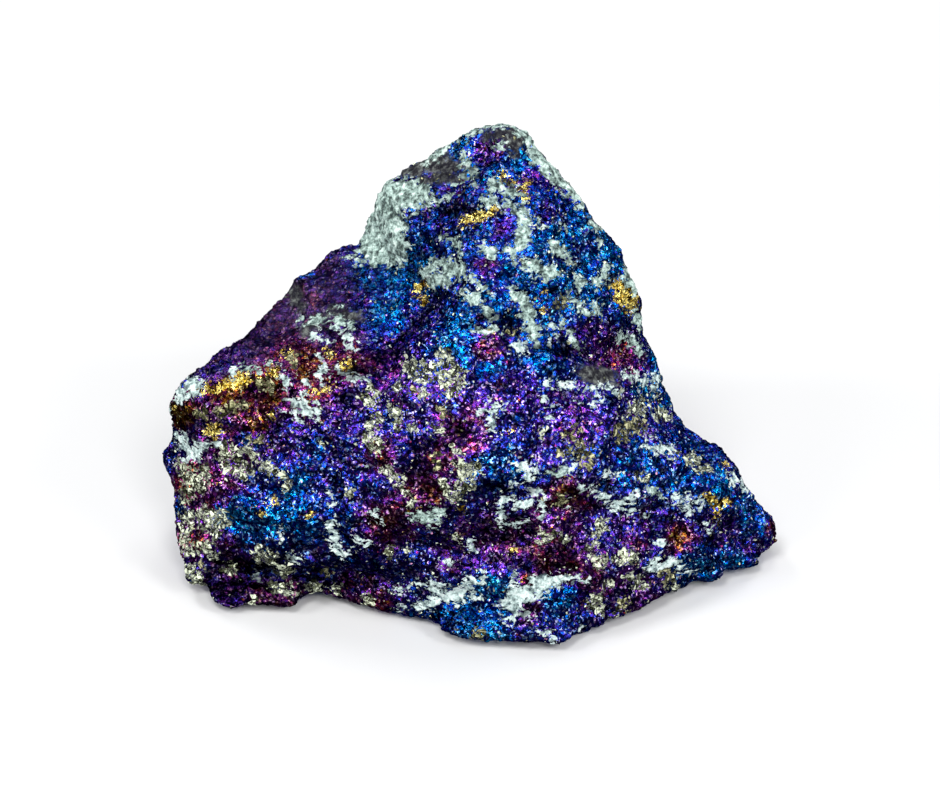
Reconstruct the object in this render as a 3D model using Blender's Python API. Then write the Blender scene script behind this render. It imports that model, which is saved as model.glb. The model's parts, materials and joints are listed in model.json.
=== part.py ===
"""A hand-sized lump of peacock ore, as one solid that stands on a flat broken foot.

The stone is laid out the way its display face is looked at, in millimetres: u runs right,
v runs up and w comes towards the viewer. Landmarks on the rim, the display face and the
back make a coarse cage. The cage is remeshed, worn, broken up with ledges, lumps and pits,
stood up and trimmed flat where it rests.
"""

import math

import bmesh
import bpy
from mathutils import Matrix, Vector, noise
from mathutils.geometry import delaunay_2d_cdt

MM = 0.001

# Driving dimensions, in millimetres and degrees.
STONE_WIDTH = 62.2
LOOK_DOWN = 32.0
REMESH_SIZE = 0.5
TRIANGLE_BUDGET = 11200
EDGE_WEAR_PASSES = 3
TABLE_SNAP = 0.25
SHARP_ANGLE = 35.0

# Broad swells of the fracture surface, in millimetres.
SWELL_SPACING = 11.0
SWELL_HEIGHT = 0.9
SWELL_SEED = Vector((3.1, 8.7, 1.9))

# Lumps with creases between them. LUMP_LEVEL is the height that stays where it was.
LUMP_SPACING = 5.5
LUMP_HEIGHT = 1.5
LUMP_OCTAVES = 4
LUMP_LEVEL = 0.6

# Small tilted chips. CHIP_GROOVE is the groove's width as a share of the spacing, and
# CHIP_SHUFFLE is large enough to give neighbouring chips unrelated tilts.
CHIP_SPACING = 3.2
CHIP_HEIGHT = 0.55
CHIP_GROOVE = 0.3
CHIP_SHUFFLE = 31.7
CHIP_SEED = Vector((0.3, 0.6, 0.2))

# Ledges along the layering: a long rise, then a short drop, strongest in some places.
LEDGE_SPACING = 3.4
LEDGE_HEIGHT = 1.1
LEDGE_TILT = 17.0
LEDGE_DIP = 0.35
LEDGE_RISE = 0.85
LEDGE_BEND = 2.4
LEDGE_BEND_SPACING = 13.0
LEDGE_PATCH_SPACING = 9.0
LEDGE_PATCH_LEVEL = 0.3
LEDGE_PATCH_SEED = Vector((7.0, 1.0, 3.0))

# The share of the relief that the worn rim keeps, and how fast the faces gain the rest.
RIM_RELIEF = 0.5
RIM_GAIN = 1.6

# The rim is the stone's outline from the display side, clockwise from the peak.
RIM_UPPER = [
    (3.2, 41.0, 21.2),
    (5.6, 40.0, 20.9),
    (6.9, 38.0, 20.6),
    (7.9, 36.7, 20.3),
    (11.5, 32.6, 18.6),
    (15.3, 28.5, 17.5),
    (17.2, 23.5, 16.0),
    (17.3, 20.0, 14.6),
    (18.4, 18.0, 13.6),
    (19.9, 14.2, 11.4),
    (22.0, 10.6, 8.4),
    (25.6, 8.5, 9.7),
    (27.8, 5.5, 10.6),
    (29.8, 2.6, 9.4),
    (31.6, 0.0, 7.6),
]
RIM_FOOT = [
    (31.2, -1.9),
    (29.6, -3.6),
    (25.7, -4.7),
    (22.8, -5.8),
    (19.8, -6.8),
    (16.0, -8.9),
    (11.6, -10.1),
    (9.4, -11.2),
    (5.5, -11.3),
    (0.5, -11.0),
    (-3.0, -10.2),
    (-4.9, -8.7),
    (-9.5, -8.3),
    (-13.0, -7.3),
    (-14.5, -6.7),
    (-16.5, -6.6),
    (-18.6, -8.1),
    (-25.0, -8.3),
    (-26.6, -7.2),
]
RIM_LEFT = [
    (-26.9, -5.9, 12.2),
    (-29.2, -5.5, 11.6),
    (-30.4, -2.2, 10.4),
    (-31.0, 1.5, 9.5),
    (-31.4, 4.6, 9.6),
    (-32.4, 7.2, 10.2),
    (-31.3, 9.6, 11.2),
    (-31.2, 12.8, 14.0),
    (-28.9, 15.3, 15.6),
    (-23.4, 19.9, 14.0),
    (-17.6, 26.6, 11.6),
    (-15.0, 28.2, 11.2),
    (-11.7, 29.7, 11.6),
    (-10.9, 32.1, 12.8),
    (-9.8, 33.7, 14.2),
    (-8.5, 35.5, 15.8),
    (-4.4, 37.6, 17.6),
    (-2.5, 39.2, 19.2),
    (0.2, 40.9, 20.8),
]
FOOT_LIFT = 1.3

# Ridges, ledges and hollows of the display face. Each line is one crease of the cage.
DISPLAY_FACE = {
    "main_crest": [
        (3.0, 38.8, 23.5),
        (1.8, 33.6, 26.0),
        (0.0, 27.4, 27.5),
        (-1.5, 20.1, 29.0),
        (0.0, 13.6, 29.5),
        (2.0, 6.6, 28.0),
        (4.0, 2.1, 25.5),
    ],
    "pale_shoulder": [(-5.0, 29.1, 21.0), (-7.0, 33.1, 18.5), (-2.5, 34.6, 22.5), (-1.0, 37.6, 21.5)],
    "gully": [(-9.8, 28.1, 13.5), (-7.0, 26.1, 17.0), (-4.0, 23.1, 21.5), (-8.5, 17.8, 21.3)],
    "left_flank": [(-5.5, 19.1, 26.5), (-7.0, 13.6, 27.0), (-10.0, 9.6, 25.5)],
    "left_flank_foot": [(-7.0, 5.6, 26.0), (-11.0, 1.6, 23.0), (-4.0, 0.6, 24.5)],
    "block_top_edge": [
        (-29.2, 13.8, 16.8),
        (-25.5, 14.8, 20.0),
        (-20.0, 15.8, 22.0),
        (-14.0, 16.2, 23.0),
        (-9.5, 14.1, 25.0),
    ],
    "block_top": [(-22.0, 17.6, 17.5), (-17.0, 21.6, 15.5), (-12.0, 22.6, 17.2)],
    "block_corner": [(-26.3, 10.6, 19.5), (-26.3, 4.6, 17.5), (-25.8, -1.4, 15.5)],
    "block_face": [(-20.5, 9.6, 21.0), (-20.5, 2.6, 19.5)],
    "block_inner_corner": [(-14.8, 8.6, 23.2), (-14.5, 1.6, 21.5)],
    "block_bottom_edge": [
        (-26.9, -3.6, 13.5),
        (-21.0, -3.4, 16.8),
        (-14.0, -3.4, 18.3),
        (-7.0, -4.7, 18.9),
    ],
    "undercut": [(-25.6, -4.7, 11.4), (-20.0, -4.5, 12.6), (-13.0, -4.5, 13.9)],
    "lower_ledge": [(-24.8, -5.8, 13.8), (-18.4, -5.4, 15.2), (-12.0, -5.2, 16.2)],
    "front_hollow": [(1.0, -0.9, 22.3), (9.0, -0.4, 21.8), (17.0, 0.1, 17.8)],
    "front_ledge": [(-4.0, -3.9, 21.0), (5.0, -3.4, 23.4), (13.0, -3.9, 21.0), (21.0, -2.9, 15.6)],
    "front_foot": [(-2.0, -7.9, 19.0), (6.0, -8.6, 20.3), (13.0, -7.6, 18.4)],
    "right_flank": [(7.5, 33.6, 24.0), (9.0, 26.6, 25.2), (13.0, 23.6, 22.0)],
    "right_groove": [(10.0, 18.4, 24.0), (15.0, 18.6, 17.8)],
    "right_face": [(15.0, 12.6, 21.5), (9.0, 11.6, 25.6), (13.0, 5.6, 23.2), (19.0, 8.6, 17.2)],
    "toe_crest": [(23.0, 4.6, 16.2), (26.5, 2.1, 13.2), (28.0, -1.2, 9.8)],
    "toe_foot": [(23.0, -0.8, 14.6)],
}

# The hidden side, in standing coordinates: x right, y away from the viewer, z up.
BACK_FACE = [
    (2.5, 15.5, 34.5),
    (-4.0, 15.0, 30.0),
    (12.0, 12.5, 24.0),
    (-13.0, 12.5, 21.5),
    (1.0, 21.5, 20.5),
    (-7.0, 19.5, 14.0),
    (-18.5, 14.5, 12.0),
    (13.0, 18.0, 9.5),
    (21.5, 5.5, 8.0),
    (1.5, 23.0, 5.5),
    (-24.0, 7.0, 9.5),
]
FOOT_FACE = [
    (-22.0, -7.0),
    (-21.0, 5.0),
    (-9.0, 14.5),
    (3.0, 18.5),
    (13.5, 13.5),
    (22.5, 1.0),
    (15.0, -9.5),
    (6.0, -14.5),
    (-8.0, -9.0),
    (0.0, 2.0),
]
FOOT_DEPTH = 2.6
SIDE_INSET = 0.94
SIDE_DEPTH = 9.0

LOOK = math.radians(LOOK_DOWN)


def clear_scene():
    for obj in list(bpy.data.objects):
        bpy.data.objects.remove(obj, do_unlink=True)


def stood_up():
    """Turns display coordinates (u, v, w) into standing ones, where +Z is up."""
    return Matrix.Rotation(math.pi / 2 - LOOK, 3, "X")


def laid_back(x, y, z):
    """The display coordinates of a point given as the stone stands."""
    return stood_up().transposed() @ Vector((x, y, z))


def foot_rim(u, v):
    """A rim point just above the table: its depth follows from how high it stands."""
    return Vector((u, v, (FOOT_LIFT - v * math.cos(LOOK)) / math.sin(LOOK)))


def rim_points():
    upper = [Vector(p) for p in RIM_UPPER]
    foot = [foot_rim(u, v) for u, v in RIM_FOOT]
    left = [Vector(p) for p in RIM_LEFT]
    return upper + foot + left


def side_points(rim):
    """A ring behind the rim, a little smaller, which gives the stone its thickness."""
    middle = sum(rim, Vector()) / len(rim)
    ring = []
    for p in rim:
        q = middle + (p - middle) * SIDE_INSET
        ring.append(Vector((q.x, q.y, p.z - SIDE_DEPTH)))
    return ring


def faces_between(ring, inner_lines, points):
    """Triangles over the area inside ring, through every inner point, with creases kept."""
    flat = [points[i].to_2d() for i in ring]
    index = list(ring)
    edges = []
    for line in inner_lines:
        start = len(flat)
        flat += [points[i].to_2d() for i in line]
        index += line
        edges += [(start + k, start + k + 1) for k in range(len(line) - 1)]
    outline = [list(range(len(ring)))]
    inside_only = 1
    made = delaunay_2d_cdt(flat, edges, outline, inside_only, 1e-5)
    origins = made[3]
    return [[index[origins[v][0]] for v in face] for face in made[2]]


def cage():
    """The coarse shape: rim, display face, side wall and back, in display coordinates."""
    rim = rim_points()
    side = side_points(rim)
    points = rim + side
    rim_ring = list(range(len(rim)))
    side_ring = list(range(len(rim), 2 * len(rim)))

    display_lines = []
    for line in DISPLAY_FACE.values():
        display_lines.append(list(range(len(points), len(points) + len(line))))
        points += [Vector(p) for p in line]
    back = [laid_back(*p) for p in BACK_FACE]
    back += [laid_back(x, y, -FOOT_DEPTH) for x, y in FOOT_FACE]
    back_lines = [[len(points) + k] for k in range(len(back))]
    points += back

    faces = faces_between(rim_ring, display_lines, points)
    faces += faces_between(side_ring, back_lines, points)
    for k in rim_ring:
        following = (k + 1) % len(rim)
        faces.append([k, following, len(rim) + following, len(rim) + k])

    mesh = bpy.data.meshes.new("cage")
    mesh.from_pydata([p * MM for p in points], [], faces)
    shape = bmesh.new()
    shape.from_mesh(mesh)
    bmesh.ops.recalc_face_normals(shape, faces=shape.faces)
    if shape.calc_volume(signed=True) < 0:
        bmesh.ops.reverse_faces(shape, faces=shape.faces)
    shape.to_mesh(mesh)
    shape.free()
    return mesh


def baked(obj):
    """The object's mesh with its modifiers applied, and the modifiers gone."""
    graph = bpy.context.evaluated_depsgraph_get()
    mesh = bpy.data.meshes.new_from_object(obj.evaluated_get(graph))
    obj.modifiers.clear()
    obj.data = mesh
    return mesh


def wear_edges(obj):
    remesh = obj.modifiers.new("even_mesh", "REMESH")
    remesh.mode = "VOXEL"
    remesh.voxel_size = REMESH_SIZE * MM
    wear = obj.modifiers.new("worn_edges", "SMOOTH")
    wear.factor = 0.5
    wear.iterations = EDGE_WEAR_PASSES
    baked(obj)


def ledge_step(p):
    """Sawtooth ledges that follow the layering, coming and going over the stone."""
    tilt = math.radians(LEDGE_TILT)
    across = p.y * math.cos(tilt) + p.x * math.sin(tilt) - LEDGE_DIP * p.z
    bend = LEDGE_BEND * noise.noise(p / LEDGE_BEND_SPACING)
    phase = ((across + bend) / LEDGE_SPACING) % 1.0
    rise = phase / LEDGE_RISE
    drop = (1.0 - phase) / (1.0 - LEDGE_RISE)
    patch = noise.noise(p / LEDGE_PATCH_SPACING + LEDGE_PATCH_SEED) + LEDGE_PATCH_LEVEL
    return max(0.0, patch) * (min(rise, drop) - 0.5)


def lump(p):
    """Rounded lumps with sharp creases between them, smaller lumps on larger ones."""
    return noise.turbulence(p / LUMP_SPACING, LUMP_OCTAVES, True) - LUMP_LEVEL


def chip(p):
    """Small flat chips: each cell has its own tilt, and dips to a groove at its border."""
    place = p / CHIP_SPACING + CHIP_SEED
    distances, centres = noise.voronoi(place)
    tilt = 2.0 * noise.cell_vector(centres[0] * CHIP_SHUFFLE) - Vector((1.0, 1.0, 1.0))
    inside = min(1.0, (distances[1] - distances[0]) / CHIP_GROOVE)
    return ((place - centres[0]).dot(tilt) + 0.5) * inside


def rim_share(normal):
    """How much of the relief a place keeps: the worn rim keeps less than the faces."""
    return RIM_RELIEF + (1.0 - RIM_RELIEF) * min(1.0, abs(normal.z) * RIM_GAIN)


def break_surface(mesh):
    """Moves every vertex along its normal: swells, lumps, chips and ledges."""
    offsets = []
    for vertex in mesh.vertices:
        p = vertex.co / MM
        height = SWELL_HEIGHT * noise.noise(p / SWELL_SPACING + SWELL_SEED)
        height += LUMP_HEIGHT * lump(p)
        height += CHIP_HEIGHT * chip(p)
        height += LEDGE_HEIGHT * ledge_step(p)
        offsets.append(vertex.normal * height * rim_share(vertex.normal) * MM)
    for vertex, offset in zip(mesh.vertices, offsets):
        vertex.co += offset


def thin_out(obj):
    triangles = sum(len(face.vertices) - 2 for face in obj.data.polygons)
    decimate = obj.modifiers.new("fewer_faces", "DECIMATE")
    decimate.ratio = min(1.0, TRIANGLE_BUDGET / triangles)
    baked(obj)


def trim_foot(mesh):
    """Cuts the stone level with the table and closes the cut with one flat face."""
    shape = bmesh.new()
    shape.from_mesh(mesh)
    for vertex in shape.verts:
        if abs(vertex.co.z) < TABLE_SNAP * MM:
            vertex.co.z = 0.0
    everything = shape.verts[:] + shape.edges[:] + shape.faces[:]
    cut = bmesh.ops.bisect_plane(
        shape,
        geom=everything,
        dist=1e-7,
        plane_co=(0, 0, 0),
        plane_no=(0, 0, -1),
        clear_outer=True,
    )
    rim = [e for e in cut["geom_cut"] if isinstance(e, bmesh.types.BMEdge)]
    bmesh.ops.holes_fill(shape, edges=rim, sides=0)
    loose = [edge for edge in shape.edges if not edge.link_faces]
    bmesh.ops.delete(shape, geom=loose, context="EDGES")
    bmesh.ops.triangulate(shape, faces=shape.faces)
    shape.to_mesh(mesh)
    shape.free()


def centre_over_origin(mesh):
    """Puts the origin under the middle of the stone, on the table."""
    low = [min(v.co[k] for v in mesh.vertices) for k in range(3)]
    high = [max(v.co[k] for v in mesh.vertices) for k in range(3)]
    middle = Vector(((low[0] + high[0]) / 2, (low[1] + high[1]) / 2, low[2]))
    mesh.transform(Matrix.Translation(-middle))


def stone_width(mesh):
    across = [v.co.x for v in mesh.vertices]
    return max(across) - min(across)


def tarnished_ore():
    """Deep blue to purple tarnish with a metallic gloss."""
    material = bpy.data.materials.new("tarnished_ore")
    material.use_nodes = True
    shader = material.node_tree.nodes["Principled BSDF"]
    shader.inputs["Base Color"].default_value = (0.07, 0.06, 0.26, 1.0)
    shader.inputs["Roughness"].default_value = 0.4
    shader.inputs["Metallic"].default_value = 0.75
    return material


def make_stone():
    stone = bpy.data.objects.new("ore_stone", cage())
    bpy.context.scene.collection.objects.link(stone)
    wear_edges(stone)
    break_surface(stone.data)
    thin_out(stone)
    stone.data.transform(stood_up().to_4x4())
    trim_foot(stone.data)
    centre_over_origin(stone.data)
    stone.data.transform(Matrix.Scale(STONE_WIDTH * MM / stone_width(stone.data), 4))
    stone.data.shade_smooth()
    stone.data.set_sharp_from_angle(angle=math.radians(SHARP_ANGLE))
    stone.data.materials.clear()
    stone.data.materials.append(tarnished_ore())


def main():
    clear_scene()
    make_stone()


main()
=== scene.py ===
"""Looks of the peacock ore specimen: a dense skin over the stone, its grains, the floor and lights.

The stone's display face is the side that the camera sees. Places on it are given in display
millimetres, as the picture shows them: u runs right and v runs up from a named picture point.
"""

import json
import math
from types import SimpleNamespace

import bmesh
import bpy
import numpy as np
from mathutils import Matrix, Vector

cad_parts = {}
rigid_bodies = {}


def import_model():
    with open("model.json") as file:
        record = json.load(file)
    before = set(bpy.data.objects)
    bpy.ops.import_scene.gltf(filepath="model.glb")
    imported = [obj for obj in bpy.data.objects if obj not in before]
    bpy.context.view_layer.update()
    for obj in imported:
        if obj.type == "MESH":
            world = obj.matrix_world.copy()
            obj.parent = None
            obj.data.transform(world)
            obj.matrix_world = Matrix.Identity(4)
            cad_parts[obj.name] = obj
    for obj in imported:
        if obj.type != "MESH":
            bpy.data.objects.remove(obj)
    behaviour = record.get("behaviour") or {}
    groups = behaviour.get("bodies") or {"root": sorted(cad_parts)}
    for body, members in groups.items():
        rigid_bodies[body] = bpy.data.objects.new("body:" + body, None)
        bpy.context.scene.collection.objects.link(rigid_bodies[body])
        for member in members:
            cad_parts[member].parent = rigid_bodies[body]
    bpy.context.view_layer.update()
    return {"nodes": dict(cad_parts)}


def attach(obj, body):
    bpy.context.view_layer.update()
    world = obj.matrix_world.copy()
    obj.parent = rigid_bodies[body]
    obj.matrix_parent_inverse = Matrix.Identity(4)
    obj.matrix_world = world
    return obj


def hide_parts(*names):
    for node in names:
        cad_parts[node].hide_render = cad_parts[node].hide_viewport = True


MM = 0.001
STONE = "ore_stone"
SKIN_PIECES = ("ore_front", "ore_back", "ore_foot")

# The camera, in degrees and metres. VIEW_WIDTH is what the picture's width covers at the target.
LOOK_DOWN = 32.0
CAMERA_DISTANCE = 0.450
VIEW_WIDTH = 0.094
SENSOR_WIDTH = 36.0
TARGET = Vector((0.0, -0.0030, 0.0180))
RIGHT = Vector((1.0, 0.0, 0.0))
BACK = Vector((0.0, -math.cos(math.radians(LOOK_DOWN)), math.sin(math.radians(LOOK_DOWN))))
UP = BACK.cross(RIGHT)

# Softboxes: name, azimuth, elevation, distance, size and power. Azimuth 0 is the camera's side,
# +90 the stone's right.
LIGHTS = [
    ("key", -25.0, 58.0, 0.8, 0.25, 2.60),
    ("front", 14.0, 42.0, 0.9, 0.22, 2.25),
    ("right", 62.0, 36.0, 0.8, 0.22, 1.80),
    ("left", -72.0, 32.0, 0.8, 0.22, 1.85),
    ("low_left", -36.0, 24.0, 0.9, 0.18, 0.70),
    ("low_right", 44.0, 20.0, 0.9, 0.18, 0.95),
    ("over", 170.0, 72.0, 1.0, 0.30, 1.65),
    ("behind_left", -145.0, 38.0, 0.9, 0.24, 1.30),
    ("behind_right", 140.0, 34.0, 0.9, 0.24, 1.30),
]
SKY, SKY_STRENGTH = (0.92, 0.96, 1.0, 1.0), 0.18
FLOOR_REACH = 3.0
FLOOR_TONES = [(0.3, (0.80, 0.80, 0.80)), (0.7, (0.83, 0.83, 0.83))]

# Display millimetres: this many to the picture's width, from this height below its middle.
DISPLAY_WIDTH = 94.0
DISPLAY_ORIGIN_DROP = 14.2

# The skin's mesh and its relief, in millimetres. A layer is a thin ledge that rises over most of
# its spacing and drops over the rest.
SKIN_VOXEL = 0.21
WARP_SPACING, WARP = 1.9, 0.5
RIDGE_SPACING, RIDGE_HEIGHT, RIDGE_MEAN = 2.6, 0.24, 0.35
GRAIN_SPACING, GRAIN_HEIGHT, GRAIN_MEAN = 0.95, 0.16, 0.25
HACKLE_SPACING, HACKLE_HEIGHT = 0.5, 0.1
LAYER_SPACING, LAYER_HEIGHT, LAYER_RISE, LAYER_DROP = 1.5, 0.2, 0.8, 0.2
LAYER_AXIS, LAYER_WAVE, LAYER_WAVE_SPACING = np.array((0.25, 0.30, 0.92)), 0.6, 7.0
LAYER_PATCH_SPACING, LAYER_PATCH_LEVEL = 6.0, 0.25
SEAM_WIDTH, SEAM_DEPTH = 0.22, 0.12
# Grooves: the ridges' low end that makes a valley, how far up a ledge its foot reaches, and the shares
# of seam, valley and ledge foot. The ore's colour is darkened in grooves as painted shade.
VALLEY_RIDGES, LEDGE_FOOT, GROOVE_SHARES = (0.02, 0.16), 0.25, (0.6, 0.8, 0.6)

# The foot: its flat, how high the relief takes to come in above it, and how much of the back it
# takes with it, in millimetres. A face is of the front where its broad normal leans this much
# towards the camera's side.
FOOT_FLAT, FOOT_CLEARANCE, FOOT_BAND = 0.05, 0.5, 4.0
FRONT_FACING = 0.08
NORMAL_BLUR_PASSES = 40

# How the patches wander from their strokes, in millimetres, and over which facings they give way
# to scattered patches where the display face ends.
WANDER_SPACING, PATCH_WANDER, TINT_WANDER = 1.1, 0.28, 0.9
STROKES_FADE, TINTS_FADE = (-0.25, 0.05), (-0.5, 0.15)
WHITE_INSET, GREY_INSET, BLEND_WIDTH = 0.12, 0.06, 0.3

# Chips of bare sulphide that stand out of the skin: how far apart they are and their half lengths,
# in millimetres, and how many different shapes they have.
CHIP_SPACING, CHIP_REACH = 0.90, (0.28, 0.62)
BRASS_SPACING, BRASS_REACH = 0.42, (0.16, 0.32)
FLECK_SPACING, FLECK_REACH, FLECK_SHARE = 1.6, (0.12, 0.30), 0.5
CHIP_SHAPES, CHIP_CORNERS = 32, 9
CHIP_STRETCH = (1.0, 0.74, 0.5)
CHIP_SINK, CHIP_TILT, CHIP_LOWEST = 0.25, 0.45, 1.0
CHIP_SEED, CHIP_DEPTH, CLEAR_OF, FLECK_DULLEST = 5, 0.05, -0.2, 0.3
CHIP_BITE, CHIP_BITE_SPACING = 0.5, 1.2
# The painted shadow on chips: how much it darkens them, and over which of its depths it comes in.
CHIP_PAINTED_SHADOW, CHIP_PAINTED_SHADOW_FADE = 0.65, (-0.3, 0.5)

# Stony gangue of the display face, milky white or grey-green. A stroke gives u, v and half width
# for each of its points in turn, and a stroke of one point is a spot.
WHITE_STROKES = [
    (-29, 14, 0.6, -27.4, 15.2, 0.8), (-30.2, 14, 0.15, -30.3, 11.2, 0.15),
    (-24.4, 16.3, 0.4, -23.6, 16.6, 0.3), (-19.3, 17, 0.2, -18.6, 16, 0.4, -18.2, 15, 0.3),
    (-17.4, 15.4, 0.2, -16.6, 15.6, 0.3, -16.2, 14.8, 0.3, -16.8, 14.2, 0.3),
    (-18.2, 13.6, 0.4, -17.2, 13.2, 0.7, -16.4, 12.4, 0.6),
    (-18.6, 12.6, 0.1, -17.6, 12.2, 0.3, -17, 11.4, 0.3),
    (-15.8, 14, 0.2, -15.6, 13, 0.3, -15.2, 12.2, 0.2, -15.4, 11.2, 0.1),
    (-14.9, 17.8, 0.3, -14.8, 16.2, 0.6), (-15.4, 20.2, 0.2, -14.2, 19.2, 0.4, -13.6, 19.6, 0.2),
    (-12.2, 19.8, 0.4, -11.8, 18.9, 0.5), (-13.6, 21, 0.4, -12.9, 20.6, 0.4),
    (-13.2, 16.6, 0.3, -12, 15.9, 0.3, -10.4, 15.5, 0.3), (-29, 9.8, 0.6, -28.2, 8.6, 0.7),
    (-28.4, 8, 0.5, -27.4, 8.4, 0.8, -26.2, 9.2, 0.4, -25.2, 9.4, 0.3), (-13.9, 3.6, 0.3),
    (-13.7, 1.6, 0.5, -14, 0.6, 0.4, -13.6, -0.2, 0.5), (-13.3, -1, 0.5, -12.8, -1.9, 0.6),
    (-17.7, -2, 0.4, -16.9, -2.2, 0.4), (-18.9, 0.2, 0.5), (-21.4, -4, 0.5),
    (-9.6, 2.4, 0.3, -9.2, 1.6, 0.4), (-11.8, 0.2, 0.1, -11.2, -0.5, 0.1, -10, -0.9, 0.2),
    (-10.4, 6.9, 0.3), (-2.8, -2.9, 0.15, -1.8, -2.6, 0.2), (-0.1, -0.7, 0.5, 0.5, -1.5, 0.4),
    (-5.6, -5, 0.1, -4.2, -4.7, 0.3, -3, -5.2, 0.5, -2, -5.8, 0.8),
    (-7.2, -7.2, 0.2, -4.8, -6.8, 0.4, -3, -6.4, 0.6), (-7.8, -5.4, 0.2, -6, -5, 0.2),
    (-4, -4.8, 0.2, -2.6, -6, 0.8, -1.2, -6.2, 0.8), (-1.2, -5.6, 0.5, 0.2, -4.6, 0.6, 1, -4.2, 0.5),
    (-0.4, -5.9, 0.2, 0.8, -6.2, 0.2), (8.8, -4.2, 0.3, 8, -4.6, 0.9, 7, -5, 1.3, 6, -5.6, 0.9),
    (6, -5.6, 1.1, 4.8, -6, 1.1, 4.2, -6.8, 1.1, 3, -7, 0.6),
    (11.8, -4.5, 0.2, 10.4, -4.2, 0.3, 9, -4.2, 0.4), (4.6, -7.4, 0.5, 4, -8.4, 0.3, 2.8, -9.4, 0.1),
    (5, -7.8, 0.3, 6.8, -8.2, 0.3, 7.2, -9.2, 0.2), (4.5, -4.3, 0.4), (7.4, -9.6, 0.4),
    (2.8, -10.6, 0.3), (11, -9.2, 0.3), (8.4, -10.4, 0.3),
    (1, 12.5, 0.3, 2.4, 12.8, 0.4, 3.4, 12.7, 0.2), (1.9, 13.4, 0.1), (2.4, 11.6, 0.4, 2.2, 10.8, 0.4),
    (7.6, 15.2, 0.5, 7.2, 14.6, 0.4), (9, 15, 0.4, 9.8, 15, 0.4),
    (11.2, 14.6, 0.3, 12.4, 14.8, 0.3, 12.9, 13.8, 0.3, 12.2, 13, 0.3), (11, 13.8, 0.3),
    (7.4, 13.8, 0.3, 8.2, 13.2, 0.2), (7.9, 12, 0.4), (12.6, 14.8, 0.2, 14, 14.8, 0.2, 15.2, 14.4, 0.2),
    (15.6, 16, 0.4, 16.6, 15.9, 0.6, 17.4, 15.4, 0.6), (18.6, 16, 0.4, 18.5, 14.8, 0.5),
    (17.4, 9.2, 0.2, 18.6, 8.8, 0.4, 20, 8.8, 0.5), (18, 9.6, 0.2, 18.2, 10.2, 0.2),
    (9.4, 6.9, 0.5, 10.4, 7, 0.4), (13.4, 6.2, 0.3, 15, 6.1, 0.3),
    (4.6, 7.6, 0.4, 5.8, 6.8, 0.6, 6.6, 6.4, 0.3), (5.7, 5.8, 0.4),
    (3.1, 3.8, 0.5, 3.2, 2.4, 0.6, 3.2, 1.8, 0.3),
    (3.4, 3.6, 0.4, 4.6, 3.2, 0.5, 5.6, 3.2, 0.7, 6.4, 3.8, 0.5), (5.8, 4.6, 0.2, 7.2, 4.4, 0.2),
    (3.8, 5, 0.2, 5, 5.2, 0.3), (7.3, 3.4, 0.3, 7.3, 2, 0.3), (9.9, 3.2, 0.3),
    (10.8, 5.2, 0.2, 12.2, 4.6, 0.3, 13, 4.2, 0.3),
    (12.8, 4.4, 0.2, 13.8, 3.6, 0.35, 14.8, 2.7, 0.4, 16.2, 2.4, 0.35, 17.4, 2.2, 0.2),
    (15, 3, 0.3, 16.2, 3.8, 0.35, 17.2, 4.2, 0.3), (3.2, 1, 0.2, 5.8, 1.4, 0.3),
    (20, 4.2, 0.4, 21.2, 3.4, 0.6, 21.8, 2.6, 0.4), (21.6, 3.6, 0.3, 23, 3.4, 0.3),
    (26.2, 5.8, 0.3, 27.2, 5, 0.3, 27.8, 4.4, 0.3), (18.8, -0.6, 0.4, 19.2, -1.1, 0.4),
    (18, -3.2, 0.4, 19.4, -2.7, 0.5, 20.2, -2.6, 0.4, 21.2, -3.4, 0.3, 22.4, -3.4, 0.3),
    (23.8, 0.8, 0.4), (4.7, 19.2, 0.6, 5, 18.4, 0.4), (8, 21.2, 0.2, 8.3, 20.2, 0.3, 7.9, 19.3, 0.3),
]
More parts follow.
